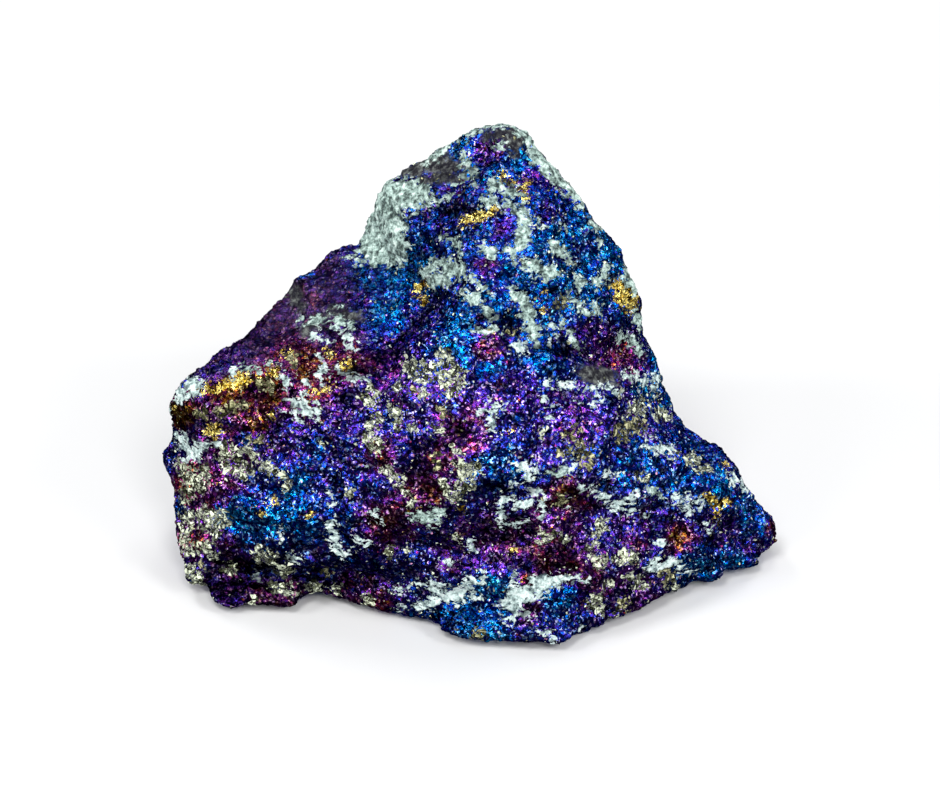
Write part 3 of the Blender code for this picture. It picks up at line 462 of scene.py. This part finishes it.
def hashed(cell, seed):
    """A random number from 0 to 1 for every row of whole numbers."""
    cell = cell.astype(np.int64)
    a, b, c, d = HASH_FACTORS
    mixed = cell[:, 0] * a ^ cell[:, 1] * b ^ cell[:, 2] * c ^ (seed * d)
    for shift, factor in HASH_ROUNDS:
        mixed = (mixed ^ (mixed >> shift)) * factor & 0xFFFFFFFF
    mixed = mixed ^ (mixed >> 15)
    return (mixed & 0xFFFFFF) / float(0xFFFFFF)


def soft_noise(points, seed):
    """Smooth gradient noise, from about -1 to 1, over an array of points."""
    base = np.floor(points)
    part = points - base
    fade = part * part * part * (part * (part * 6.0 - 15.0) + 10.0)
    total = np.zeros(len(points))
    for corner in np.ndindex(2, 2, 2):
        step = np.array(corner, float)
        cell = base + step
        slope = np.stack([hashed(cell, seed + k) for k in (1, 2, 3)], axis=1) * 2.0 - 1.0
        weight = np.prod(np.where(step > 0.5, fade, 1.0 - fade), axis=1)
        total += weight * np.sum(slope * (part - step), axis=1)
    return total * NOISE_GAIN


def layered_noise(points, octaves, seed):
    total = np.zeros(len(points))
    for k in range(octaves):
        total += soft_noise(points * 2.0**k, seed + 10 * k) / 2.0**k
    return total


def cells(points, seed):
    """Distances to the nearest two cell centres, the offset from the nearest and its own numbers."""
    base = np.floor(points)
    near = np.full(len(points), FAR)
    second = np.full(len(points), FAR)
    offset = np.zeros_like(points)
    owner = np.zeros_like(points)
    for step in np.ndindex(3, 3, 3):
        cell = base + np.array(step, float) - 1.0
        centre = cell + np.stack([hashed(cell, seed + k) for k in (1, 2, 3)], axis=1)
        away = points - centre
        distance = np.linalg.norm(away, axis=1)
        closer = distance < near
        second = np.where(closer, near, np.minimum(second, distance))
        near = np.where(closer, distance, near)
        offset[closer] = away[closer]
        owner[closer] = cell[closer]
    own = np.stack([hashed(owner, seed + k) for k in (4, 5, 6)], axis=1)
    return near, second, offset, own


def step_between(low, high, value):
    t = np.clip((value - low) / (high - low), 0.0, 1.0)
    return t * t * (3.0 - 2.0 * t)


def display_place(points):
    """Where points, in metres, show in the picture, in display millimetres."""
    away = points - np.array(TARGET)
    depth = CAMERA_DISTANCE - away @ np.array(BACK)
    reach = DISPLAY_WIDTH * CAMERA_DISTANCE / VIEW_WIDTH
    u = reach * (away @ np.array(RIGHT)) / depth
    v = reach * (away @ np.array(UP)) / depth + DISPLAY_ORIGIN_DROP
    return np.stack([u, v], axis=1)


def stroke_depth(places, strokes):
    """How deep each place lies inside the strokes, in millimetres; outside it is below zero."""
    deepest = np.full(len(places), -FAR)
    for stroke in strokes:
        points = np.array(stroke, float).reshape(-1, 3)
        for start, end in zip(points, points[1:] if len(points) > 1 else points):
            along = end[:2] - start[:2]
            length = max(TINY, float(along @ along))
            share = np.clip((places - start[:2]) @ along / length, 0.0, 1.0)
            nearest = start[:2] + share[:, None] * along
            width = start[2] + share * (end[2] - start[2])
            deepest = np.maximum(deepest, width - np.linalg.norm(places - nearest, axis=1))
    return deepest


def tints_at(places):
    """Film, brightness and dullness at each place, blended from the tints around it."""
    total = np.full(len(places), DEFAULT_WEIGHT)
    sums = np.stack([total * value for value in DEFAULT_TINT], axis=1)
    for u, v, reach, *tint in [(*clear, 0.0) for clear in TINTS] + DULL_TINTS:
        gap = np.sum((places - np.array((u, v))) ** 2, axis=1) / reach**2
        weight = np.exp(-TINT_FALL * gap)
        total = total + weight
        sums += weight[:, None] * np.array(tint)
    return sums / total[:, None]


def read_values(items, name, kind, width=1):
    """One value, or a row of them, for each of a mesh's items."""
    flat = np.empty(len(items) * width, kind)
    items.foreach_get(name, flat)
    return flat.reshape(-1, width) if width > 1 else flat


def read_attribute(mesh, name):
    return read_values(mesh.attributes[name].data, "value", np.float32)


def set_attribute(mesh, name, values):
    attribute = mesh.attributes.new(name, "FLOAT", "POINT")
    attribute.data.foreach_set("value", values.astype(np.float32))


def mesh_normals(mesh):
    return read_values(mesh.vertex_normals, "vector", float, 3)


def blurred(mesh, values, passes):
    """Values averaged with their neighbours along the mesh's edges, several times over."""
    pairs = read_values(mesh.edges, "vertices", np.int64, 2)
    ends = np.concatenate([pairs[:, 0], pairs[:, 1]])
    others = np.concatenate([pairs[:, 1], pairs[:, 0]])
    count = len(mesh.vertices)
    links = np.bincount(ends, minlength=count)[:, None]
    for _ in range(passes):
        columns = [np.bincount(ends, weights=column[others], minlength=count) for column in values.T]
        values = (values + np.stack(columns, axis=1) / links) / 2.0
    return values


def add_object(name, data):
    added = bpy.data.objects.new(name, data)
    bpy.context.scene.collection.objects.link(added)
    return added


def even_skin(stone):
    """A dense, evenly meshed copy of the stone, with its facets rounded a little."""
    mesh = stone.data.copy()
    joined = bmesh.new()
    joined.from_mesh(mesh)
    bmesh.ops.remove_doubles(joined, verts=joined.verts, dist=1e-7)
    joined.to_mesh(mesh)
    joined.free()
    skin = add_object("skin", mesh)
    rounding = skin.modifiers.new("rounding", "SUBSURF")
    rounding.levels = 1
    remesh = skin.modifiers.new("even_mesh", "REMESH")
    remesh.mode = "VOXEL"
    remesh.voxel_size = SKIN_VOXEL * MM
    graph = bpy.context.evaluated_depsgraph_get()
    dense = bpy.data.meshes.new_from_object(skin.evaluated_get(graph))
    bpy.data.objects.remove(skin)
    return dense


def relief(points):
    """Fine relief over points in millimetres: its height, and how deep in a groove each is."""
    warp = np.stack([soft_noise(points / WARP_SPACING, seed) for seed in (11, 12, 13)], axis=1)
    bent = points + WARP * warp
    ridge = np.abs(layered_noise(bent / RIDGE_SPACING, 3, 21))
    near, second, offset, own = cells(bent / GRAIN_SPACING, 31)
    grain = np.sum(offset * (own * 2.0 - 1.0), axis=1) + 0.5 * own[:, 0]
    seam = 1.0 - step_between(0.0, SEAM_WIDTH, second - near)
    offset, own = cells(bent / HACKLE_SPACING, 41)[2:]
    hackle = np.sum(offset * (own * 2.0 - 1.0), axis=1)
    wave = LAYER_WAVE * soft_noise(points / LAYER_WAVE_SPACING, 51)
    phase = (bent @ LAYER_AXIS / LAYER_SPACING + wave) % 1.0
    tooth = np.minimum(phase / LAYER_RISE, (1.0 - phase) / LAYER_DROP)
    patch = np.clip(soft_noise(points / LAYER_PATCH_SPACING, 61) + LAYER_PATCH_LEVEL, 0.0, 1.0)
    height = RIDGE_HEIGHT * (ridge - RIDGE_MEAN) + GRAIN_HEIGHT * (grain - GRAIN_MEAN)
    height += HACKLE_HEIGHT * hackle + LAYER_HEIGHT * patch * (tooth - 0.5) - SEAM_DEPTH * seam
    valley = 1.0 - step_between(*VALLEY_RIDGES, ridge)
    ledge_foot = patch * (1.0 - step_between(0.0, LEDGE_FOOT, tooth))
    shares = GROOVE_SHARES[0] * seam + GROOVE_SHARES[1] * valley + GROOVE_SHARES[2] * ledge_foot
    return height, np.clip(shares, 0.0, 1.0)


def patch_depths(millimetres, places, facing):
    """How deep each point lies inside each kind of patch, in millimetres."""
    noises = {}
    for name, (spacing, octaves, seed) in SCATTER_NOISES.items():
        noises[name] = layered_noise(millimetres / spacing, octaves, seed)
    seen = step_between(*STROKES_FADE, facing)
    depths = {}
    for name, (strokes, noise, side, level) in PATCHES.items():
        hidden = (noises[noise] * side - level) * PATCH_SLOPE
        depths[name] = stroke_depth(places, strokes) * seen + hidden * (1.0 - seen)
    return depths


def paint(mesh, points, facing, groove):
    """Stores on the mesh where its patches, grains and tarnish colours are."""
    millimetres = points / MM
    places = display_place(points)
    wander = [layered_noise(millimetres / WANDER_SPACING, 3, seed) for seed in (71, 72)]
    wander = np.stack(wander, axis=1)
    depths = patch_depths(millimetres, places + PATCH_WANDER * wander, facing)
    white, grey = depths["white"] - WHITE_INSET, depths["grey"] - GREY_INSET
    silver, olive = depths["silver"], depths["olive"]
    film = HIDDEN_FILM[0] + HIDDEN_FILM[1] * layered_noise(millimetres / 7.0, 3, 101)
    bright = HIDDEN_BRIGHT[0] + HIDDEN_BRIGHT[1] * layered_noise(millimetres / 6.0, 3, 121)
    bright = np.clip(bright, *HIDDEN_BRIGHT_RANGE)
    hidden = np.stack([film, bright, np.full(len(points), HIDDEN_DULLNESS)], axis=1)
    near = step_between(*TINTS_FADE, facing)[:, None]
    tint = tints_at(places + TINT_WANDER * wander) * near + hidden * (1.0 - near)
    painted = {
        "pale": np.maximum(white, grey),
        "milky": step_between(-BLEND_WIDTH, BLEND_WIDTH, white - grey),
        "sulphide": np.maximum(silver, olive),
        "olive": step_between(-BLEND_WIDTH, BLEND_WIDTH, olive - silver),
        "gold": depths["gold"],
        "slate": depths["slate"],
        # Painted shadow, in creases, the gully and under the overhangs.
        "dark": depths["dark"],
        "film": tint[:, 0],
        # The tints' brightness: the tarnish's own tone, with painted light and shade on the display
        # face.
        "bright": tint[:, 1],
        "dull": tint[:, 2],
        # Grooves, where the ore's colour gets painted shade.
        "groove": groove,
    }
    for name, values in painted.items():
        set_attribute(mesh, name, values)


def part_of(mesh, name, keep, material):
    """The faces of mesh marked in keep, as an object that keeps the whole mesh's shading."""
    normals = mesh_normals(mesh)
    attribute = mesh.attributes.new("whole_normal", "FLOAT_VECTOR", "POINT")
    attribute.data.foreach_set("vector", normals.astype(np.float32).ravel())
    some = bmesh.new()
    some.from_mesh(mesh)
    some.faces.ensure_lookup_table()
    bmesh.ops.delete(some, geom=[some.faces[i] for i in np.nonzero(~keep)[0]], context="FACES")
    bmesh.ops.triangulate(some, faces=some.faces)
    cut = bpy.data.meshes.new(name)
    some.to_mesh(cut)
    some.free()
    whole = read_values(cut.attributes["whole_normal"].data, "vector", np.float32, 3)
    cut.shade_smooth()
    cut.normals_split_custom_set_from_vertices(whole)
    for either in (mesh, cut):
        either.attributes.remove(either.attributes["whole_normal"])
    cut.materials.append(material)
    return add_object(name, cut)


def chip_shapes(draws):
    """Broken crystals of unit size, each as its corners and its three-sided faces."""
    shapes = []
    for _ in range(CHIP_SHAPES):
        corners = draws.normal(size=(CHIP_CORNERS, 3))
        corners /= np.linalg.norm(corners, axis=1)[:, None]
        solid = bmesh.new()
        for corner in corners * np.array(CHIP_STRETCH):
            solid.verts.new(corner)
        bmesh.ops.convex_hull(solid, input=solid.verts)
        solid.verts.index_update()
        solid.faces.ensure_lookup_table()
        points = np.array([vert.co[:] for vert in solid.verts])
        faces = np.array([[vert.index for vert in face.verts] for face in solid.faces])
        solid.free()
        shapes.append((points, faces))
    return shapes


def chip_sets(mesh, millimetres):
    """Where each kind of chip may stand, with its spacing, reach, share and brassiness."""
    bare = read_attribute(mesh, "sulphide")
    gold = read_attribute(mesh, "gold")
    free = (millimetres[:, 2] > CHIP_LOWEST) & (read_attribute(mesh, "pale") < CLEAR_OF)
    flecked = free & (bare < CLEAR_OF) & (read_attribute(mesh, "dull") < FLECK_DULLEST)
    bitten = CHIP_BITE * soft_noise(millimetres / CHIP_BITE_SPACING, 131)
    return [
        (free & (bare + bitten > CHIP_DEPTH), CHIP_SPACING, CHIP_REACH, 1.0, 0.0),
        (free & (gold + bitten > CHIP_DEPTH), BRASS_SPACING, BRASS_REACH, 1.0, 1.0),
        (flecked, FLECK_SPACING, FLECK_REACH, FLECK_SHARE, 0.0),
    ]


def chip_places(points, wanted, spacing, draws):
    """Rows of the wanted points, at most one in each cell of a grid with this spacing."""
    rows = draws.permutation(np.nonzero(wanted)[0])
    cell = np.floor(points[rows] / spacing).astype(np.int64)
    kept = np.unique(cell, axis=0, return_index=True)[1]
    return rows[np.sort(kept)]


def chip_axes(normal, draws):
    """The directions of a chip's length, width and height, leaning from the skin's normal."""
    up = normal + CHIP_TILT * draws.normal(size=3)
    up /= np.linalg.norm(up)
    along = np.cross(up, draws.normal(size=3))
    along /= np.linalg.norm(along)
    return np.stack([along, np.cross(up, along), up])


def make_chips(mesh, points, normals, material):
    """Chips of bare silvery, olive and brassy sulphide, set into the skin where it is painted so."""
    draws = np.random.default_rng(CHIP_SEED)
    millimetres = points / MM
    olive = read_attribute(mesh, "olive")
    # Chips in the painted shadow get painted shadow too: their faces' tones are lower there.
    lit = 1.0 - CHIP_PAINTED_SHADOW * step_between(*CHIP_PAINTED_SHADOW_FADE, read_attribute(mesh, "dark"))
    shapes = chip_shapes(draws)
    corners, faces, tones, olives, golds = [], [], [], [], []
    count = 0
    for wanted, spacing, reach, share, brassy in chip_sets(mesh, millimetres):
        for row in chip_places(millimetres, wanted, spacing, draws):
            if draws.random() > share:
                continue
            shape, sides = shapes[draws.integers(len(shapes))]
            axes = chip_axes(normals[row], draws)
            size = draws.uniform(*reach)
            centre = millimetres[row] - normals[row] * size * CHIP_SINK
            corners.append((shape @ axes * size + centre) * MM)
            faces.append(sides + count)
            count += len(shape)
            tones.append(draws.random(len(sides)) * lit[row])
            olives.append(np.full(len(shape), olive[row]))
            golds.append(np.full(len(shape), brassy))
    chips = bpy.data.meshes.new("sulphide_grains")
    chips.from_pydata(np.concatenate(corners).tolist(), [], np.concatenate(faces).tolist())
    tone = chips.attributes.new("tone", "FLOAT", "FACE")
    tone.data.foreach_set("value", np.concatenate(tones).astype(np.float32))
    set_attribute(chips, "olive", np.concatenate(olives))
    set_attribute(chips, "gold", np.concatenate(golds))
    chips.materials.append(material)
    return add_object("sulphide_grains", chips)


def split_faces(mesh, facing):
    """Marks for the faces of the front, of the back, and of the foot with the back's low part."""
    heights = read_values(mesh.polygons, "center", float, 3)[:, 2] / MM
    first = read_values(mesh.polygons, "loop_start", np.int64)
    corner = read_values(mesh.loops, "vertex_index", np.int64)[first]
    front = facing[corner] > FRONT_FACING
    foot = (heights < FOOT_FLAT) | (~front & (heights < FOOT_BAND))
    return front & ~foot, ~front & ~foot, foot


def make_skin(stone, ore, sulphide):
    """The pieces of the stone's skin, in the ore's material, and the chips, in the sulphide's."""
    mesh = even_skin(stone)
    points, normals = read_values(mesh.vertices, "co", float, 3), mesh_normals(mesh)
    height, groove = relief(points / MM)
    free = step_between(0.0, FOOT_CLEARANCE * MM, points[:, 2])
    surface = points + normals * (height * free * MM)[:, None]
    surface[:, 2] = np.maximum(surface[:, 2], 0.0)
    broad = blurred(mesh, normals, NORMAL_BLUR_PASSES)
    broad /= np.linalg.norm(broad, axis=1)[:, None]
    facing = broad @ np.array(BACK)
    mesh.vertices.foreach_set("co", surface.astype(np.float32).ravel())
    mesh.update()
    paint(mesh, surface, facing, groove)
    pieces = []
    for name, keep in zip(SKIN_PIECES, split_faces(mesh, facing)):
        pieces.append(part_of(mesh, name, keep, ore))
    chips = make_chips(mesh, surface, mesh_normals(mesh), sulphide)
    bpy.data.meshes.remove(mesh)
    return pieces, chips


class Nodes:
    """Short ways to add shader nodes and join them."""

    def __init__(self, material):
        material.use_nodes = True
        self.tree = material.node_tree
        self.shader = self.tree.nodes["Principled BSDF"]

    def add(self, kind, **settings):
        node = self.tree.nodes.new(kind)
        for name, value in settings.items():
            setattr(node, name, value)
        return node

    def feed(self, socket, value):
        if isinstance(value, bpy.types.NodeSocket):
            self.tree.links.new(value, socket)
        else:
            socket.default_value = value

    def maths(self, operation, a, b, clamp=False):
        node = self.add("ShaderNodeMath", operation=operation, use_clamp=clamp)
        self.feed(node.inputs[0], a)
        self.feed(node.inputs[1], b)
        return node.outputs[0]

    def plus(self, a, b):
        return self.maths("ADD", a, b)

    def minus(self, a, b):
        return self.maths("SUBTRACT", a, b)

    def times(self, a, b, clamp=False):
        return self.maths("MULTIPLY", a, b, clamp)

    def over(self, a, b):
        return self.maths("GREATER_THAN", a, b)

    def spread(self, value, amount):
        """A value of 0 to 1 as an amount to both sides of zero."""
        return self.times(self.minus(value, 0.5), amount)

    def vector(self, operation, a, b):
        node = self.add("ShaderNodeVectorMath", operation=operation)
        self.feed(node.inputs[0], a)
        self.feed(node.inputs[3 if operation == "SCALE" else 1], b)
        return node.outputs[0]

    def place(self):
        """The place on the object, in millimetres."""
        return self.vector("SCALE", self.add("ShaderNodeTexCoord").outputs["Object"], 1.0 / MM)

    def attribute(self, name):
        return self.add("ShaderNodeAttribute", attribute_name=name).outputs["Fac"]

    def ranged(self, value, low, high, to_low=0.0, to_high=1.0):
        node = self.add("ShaderNodeMapRange", interpolation_type="SMOOTHSTEP")
        for socket, number in zip(node.inputs, (value, low, high, to_low, to_high)):
            self.feed(socket, number)
        return node.outputs[0]

    def noise(self, place, scale, detail, rough, output="Fac"):
        node = self.add("ShaderNodeTexNoise")
        self.feed(node.inputs["Vector"], place)
        node.inputs["Scale"].default_value = scale
        node.inputs["Detail"].default_value = detail
        node.inputs["Roughness"].default_value = rough
        return node.outputs[output]

    def voronoi(self, place, scale, output="Color", feature="F1"):
        node = self.add("ShaderNodeTexVoronoi", feature=feature)
        self.feed(node.inputs["Vector"], place)
        node.inputs["Scale"].default_value = scale
        return node.outputs[output]

    def cell_edge(self, place, scale):
        """How far each place is from its cell's edge."""
        return self.voronoi(place, scale, "Distance", "DISTANCE_TO_EDGE")

    def mix(self, share, a, b, kind="RGBA", blend="MIX"):
        node = self.add("ShaderNodeMix", data_type=kind)
        if kind == "RGBA":
            node.blend_type = blend
        place = {"FLOAT": (2, 3, 0), "VECTOR": (4, 5, 1), "RGBA": (6, 7, 2)}[kind]
        self.feed(node.inputs[0], share)
        self.feed(node.inputs[place[0]], a)
        self.feed(node.inputs[place[1]], b)
        return node.outputs[place[2]]

    def shaded(self, colour, light):
        return self.mix(1.0, colour, light, blend="MULTIPLY")

    def channels(self, colour):
        node = self.add("ShaderNodeSeparateColor")
        self.feed(node.inputs[0], colour)
        return node.outputs[0], node.outputs[1], node.outputs[2]

    def ramp(self, value, stops):
        node = self.add("ShaderNodeValToRGB")
        points = node.color_ramp.elements
        while len(points) < len(stops):
            points.new(1.0)
        for point, (place, colour) in zip(points, stops):
            point.position = place
            point.color = (*colour, 1.0)
        self.feed(node.inputs[0], value)
        return node.outputs[0]

    def add_bump(self, height, strength):
        """Bump on the shader's normal, and the bump node."""
        bump = self.add("ShaderNodeBump")
        bump.inputs["Strength"].default_value = strength
        bump.inputs["Distance"].default_value = BUMP_DISTANCE
        self.feed(bump.inputs["Height"], height)
        self.feed(self.shader.inputs["Normal"], bump.outputs[0])
        return bump


def ragged(n, depth, noise, amount):
    """A depth in millimetres, made uneven by a noise of 0 to 1."""
    return n.plus(depth, n.spread(noise, amount))


def by_chance(n, depth, low, high, most, chance):
    """1 in the cells that a growing likelihood picks, from none at depth low to most at high."""
    return n.over(n.plus(n.ranged(depth, low, high, 0.0, most), chance), 1.0)


def ore_patterns(n):
    """The cells and noises that the ore's colours, gloss and facets share."""
    p = SimpleNamespace(place=n.place())
    drift = n.vector("SUBTRACT", n.noise(p.place, *DRIFT_NOISE, "Color"), HALF)
    p.bent = n.vector("ADD", p.place, n.vector("SCALE", drift, DRIFT))
    p.streaked = n.vector("MULTIPLY", p.bent, STREAK)
    p.fine = n.voronoi(p.bent, FINE_CELLS)
    p.middle = n.voronoi(p.bent, MIDDLE_CELLS)
    p.chip = n.voronoi(p.bent, GRAIN_CELLS)
    p.fine_red, p.fine_green, p.fine_blue = n.channels(p.fine)
    p.middle_green, p.middle_blue = n.channels(p.middle)[1:]
    p.chip_red, p.chip_green = n.channels(p.chip)[:2]
    p.blotch = n.noise(p.streaked, *BLOTCH_NOISE)
    p.specks = n.noise(p.streaked, *SPECK_NOISE)
    p.grain = n.noise(p.bent, *GRAIN_NOISE)
    p.dull = n.attribute("dull")
    return p


def add_patches(n, p):
    """Adds to the patterns where each kind of patch shows."""
    tendril = n.noise(n.vector("MULTIPLY", p.bent, TENDRIL_STREAK), *TENDRIL_NOISE)
    depth = ragged(n, n.attribute("pale"), p.blotch, PALE_RAGGED)
    p.pale_depth = ragged(n, depth, tendril, TENDRIL_RAGGED)
    p.pale = by_chance(n, p.pale_depth, *PALE_CHANCE, p.fine_blue)
    depth = ragged(n, n.attribute("sulphide"), p.specks, SULPHIDE_RAGGED)
    chance = n.ranged(p.chip_green, *ALL, *GRAIN_CHANCE)
    gap = n.plus(n.cell_edge(p.bent, GRAIN_CELLS), n.spread(p.fine_red, GRAIN_GAP_RAGGED))
    p.sulphide = n.times(by_chance(n, depth, *SULPHIDE_CHANCE, chance), n.over(gap, GRAIN_GAP))
    depth = ragged(n, n.attribute("gold"), p.specks, GOLD_RAGGED)
    p.gold = by_chance(n, depth, *GOLD_CHANCE, p.fine_red)
    p.slate = n.ranged(ragged(n, n.attribute("slate"), p.blotch, SLATE_RAGGED), *SLATE_DEPTHS)
    # Where painted shadow darkens the colour.
    p.dark = n.ranged(ragged(n, n.attribute("dark"), p.blotch, PAINTED_SHADOW_RAGGED), *PAINTED_SHADOW_DEPTHS)
    p.stony = n.maths("MAXIMUM", p.pale, n.times(p.slate, SLATE_STONY))


def tarnish_colour(n, p):
    """The film's colour, keener on some facets than on others, darker in seams, with painted shade in
    grooves.
    """
    painted, bright = n.attribute("film"), n.attribute("bright")
    film = n.plus(painted, n.spread(n.noise(p.place, *SLOW_NOISE), FILM_SLOW))
    film = n.plus(film, n.spread(p.fine_green, FILM_FINE))
    film = n.plus(film, n.spread(p.middle_green, FILM_MIDDLE))
    film = n.minus(film, n.times(n.over(p.fine_green, EMBER_OVER), EMBER_THIN))
    keen = n.plus(n.times(p.fine_red, KEEN_FINE), n.times(p.middle_blue, KEEN_MIDDLE))
    # Facets are keener where the tints' brightness, with its painted light and shade, is higher.
    keen = n.times(n.ranged(keen, *KEEN_RANGE), bright, True)
    film = n.plus(film, n.times(keen, n.times(n.minus(painted, KEEN_FILM), KEEN_DRIFT)))
    colour = n.mix(keen, n.ramp(film, DEEP_TARNISH), n.ramp(film, KEEN_TARNISH))
    glint = n.times(n.ranged(p.fine_blue, *GLINT_RANGE), GLINT_SHARE)
    colour = n.mix(glint, colour, n.ramp(film, GLINT_TARNISH))
    colour = n.mix(n.times(p.dull, DULL_GREY_SHARE), colour, DULL_GREY)
    shade = n.ranged(n.noise(p.streaked, *CLUSTER_NOISE), *CLUSTER_SHADE)
    shade = n.times(shade, n.ranged(n.cell_edge(p.bent, MIDDLE_CELLS), *SEAM_SHADE))
    # The tints' brightness adds painted light and shade.
    shade = n.times(shade, n.ranged(bright, *BRIGHT_SHADE))
    # Painted shade in grooves.
    painted_hollow_shade = n.minus(1.0, n.times(n.attribute("groove"), PAINTED_GROOVE_SHADE))
    return n.shaded(colour, n.times(shade, painted_hollow_shade))


def gangue_colour(n, p):
    milky = n.attribute("milky")
    colour = n.mix(milky, n.ramp(p.grain, GREY_GANGUE), n.ramp(p.grain, WHITE_GANGUE))
    colour = n.shaded(colour, n.ranged(p.fine_red, *GANGUE_FLECK))
    return n.shaded(colour, n.ranged(p.pale_depth, *GANGUE_EDGE))


def bare_colour(n, p):
    """Bare sulphide between the chips, which is darker than they are."""
    facet = n.plus(n.times(p.fine_red, BARE_FINE), n.times(p.chip_red, BARE_GRAIN))
    colour = n.mix(n.attribute("olive"), n.ramp(facet, SILVER), n.ramp(facet, OLIVE))
    return n.shaded(colour, n.ranged(n.noise(p.streaked, *HATCH_NOISE), *BARE_HATCH))


def facet_normal(n, p):
    """The surface's normal, leaning another way in every cell."""
    fine = n.vector("SUBTRACT", p.fine, HALF)
    leans = []
    for cell, (fine_lean, cell_lean) in ((p.middle, TARNISH_LEAN), (p.chip, BARE_LEAN)):
        broad = n.vector("SCALE", n.vector("SUBTRACT", cell, HALF), cell_lean)
        leans.append(n.vector("ADD", n.vector("SCALE", fine, fine_lean), broad))
    sparkle = n.mix(p.dull, 1.0, DULL_SPARKLE, "FLOAT")
    sparkle = n.mix(p.stony, sparkle, STONE_SPARKLE, "FLOAT")
    lean = n.vector("SCALE", n.mix(p.sulphide, *leans, "VECTOR"), sparkle)
    normal = n.vector("ADD", n.add("ShaderNodeNewGeometry").outputs["Normal"], lean)
    return n.vector("NORMALIZE", normal, (0.0, 0.0, 0.0))


def ore_material():
    """Tarnished sulphide with stony gangue, bright grains and brassy places, as the mesh says."""
    material = bpy.data.materials.new("tarnished_ore")
    n = Nodes(material)
    p = ore_patterns(n)
    add_patches(n, p)
    colour = n.mix(p.gold, tarnish_colour(n, p), n.ramp(p.middle_blue, BRASS))
    colour = n.mix(p.slate, colour, n.ramp(p.grain, SLATE))
    colour = n.mix(p.sulphide, colour, bare_colour(n, p))
    colour = n.mix(p.pale, colour, gangue_colour(n, p))
    # Painted shadow in the creases, the gully and under the overhangs.
    light = n.minus(1.0, n.times(p.dark, PAINTED_SHADOW_STRENGTH))
    n.feed(n.shader.inputs["Base Color"], n.shaded(colour, light))
    chalky = n.maths("MAXIMUM", p.stony, n.times(p.sulphide, BARE_CHALKY))
    n.feed(n.shader.inputs["Metallic"], n.minus(1.0, chalky))
    rough = n.plus(n.ranged(p.fine_blue, *FACET_ROUGHNESS), n.times(p.dull, DULL_ROUGHNESS))
    n.feed(n.shader.inputs["Roughness"], n.mix(p.stony, rough, STONE_ROUGHNESS, "FLOAT"))
    n.shader.inputs["Specular Tint"].default_value = EDGE_TINT
    bump = n.add_bump(n.noise(p.place, *BUMP_NOISE), ORE_BUMP)
    n.feed(bump.inputs["Normal"], facet_normal(n, p))
    return material


def chip_material():
    """Bare broken sulphide, cream-silver, olive or brassy as each chip says."""
    material = bpy.data.materials.new("sulphide_grains")
    n = Nodes(material)
    hatch = n.noise(n.vector("MULTIPLY", n.place(), CHIP_STREAK), *CHIP_HATCH_NOISE)
    # A chip's tone is lower where painted shadow falls on it.
    tone = n.plus(n.attribute("tone"), n.ranged(hatch, *CHIP_TONE))
    colour = n.mix(n.attribute("olive"), n.ramp(tone, SILVER), n.ramp(tone, OLIVE))
    colour = n.mix(n.attribute("gold"), colour, n.ramp(tone, BRASS))
    n.feed(n.shader.inputs["Base Color"], colour)
    n.feed(n.shader.inputs["Metallic"], n.ranged(hatch, *CHIP_METALLIC))
    n.feed(n.shader.inputs["Roughness"], n.ranged(hatch, *CHIP_ROUGHNESS))
    n.add_bump(hatch, CHIP_BUMP)
    return material


def floor_material():
    material = bpy.data.materials.new("pale_floor")
    n = Nodes(material)
    place = n.add("ShaderNodeTexCoord").outputs["Object"]
    n.feed(n.shader.inputs["Base Color"], n.ramp(n.noise(place, 9.0, 3.0, 0.5), FLOOR_TONES))
    n.shader.inputs["Roughness"].default_value = 0.8
    n.shader.inputs["Specular IOR Level"].default_value = 0.2
    return material


def add_floor():
    """A pale floor that the metal doesn't mirror."""
    mesh = bpy.data.meshes.new("floor")
    sheet = bmesh.new()
    bmesh.ops.create_grid(sheet, x_segments=1, y_segments=1, size=FLOOR_REACH)
    sheet.to_mesh(mesh)
    sheet.free()
    mesh.materials.append(floor_material())
    floor = add_object("floor", mesh)
    floor.visible_glossy = False


def add_light(name, azimuth, elevation, distance, size, power):
    """A square softbox that looks at the stone."""
    data = bpy.data.lights.new(name, "AREA")
    data.size = size
    data.energy = power
    a, e = math.radians(azimuth), math.radians(elevation)
    towards = Vector((math.sin(a) * math.cos(e), -math.cos(a) * math.cos(e), math.sin(e)))
    lamp = add_object(name, data)
    lamp.location = TARGET + towards * distance
    lamp.rotation_euler = towards.to_track_quat("Z", "Y").to_euler()


def add_sky():
    world = bpy.data.worlds.new("studio")
    world.use_nodes = True
    background = world.node_tree.nodes["Background"]
    background.inputs["Color"].default_value = SKY
    background.inputs["Strength"].default_value = SKY_STRENGTH
    bpy.context.scene.world = world


def add_camera():
    data = bpy.data.cameras.new("camera")
    data.sensor_width = SENSOR_WIDTH
    data.lens = SENSOR_WIDTH * CAMERA_DISTANCE / VIEW_WIDTH
    data.clip_start = 0.01
    camera = add_object("camera", data)
    camera.location = TARGET + BACK * CAMERA_DISTANCE
    camera.rotation_euler = BACK.to_track_quat("Z", "Y").to_euler()
    bpy.context.scene.camera = camera


def clear_start_scene():
    for obj in list(bpy.data.objects):
        bpy.data.objects.remove(obj, do_unlink=True)


clear_start_scene()
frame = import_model()
bpy.context.scene.view_settings.view_transform = "Standard"
skin, chips = make_skin(frame["nodes"][STONE], ore_material(), chip_material())
for piece in skin:
    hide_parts(STONE)
    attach(piece, "root")
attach(chips, "root")
add_floor()
for light in LIGHTS:
    add_light(*light)
add_sky()
add_camera()
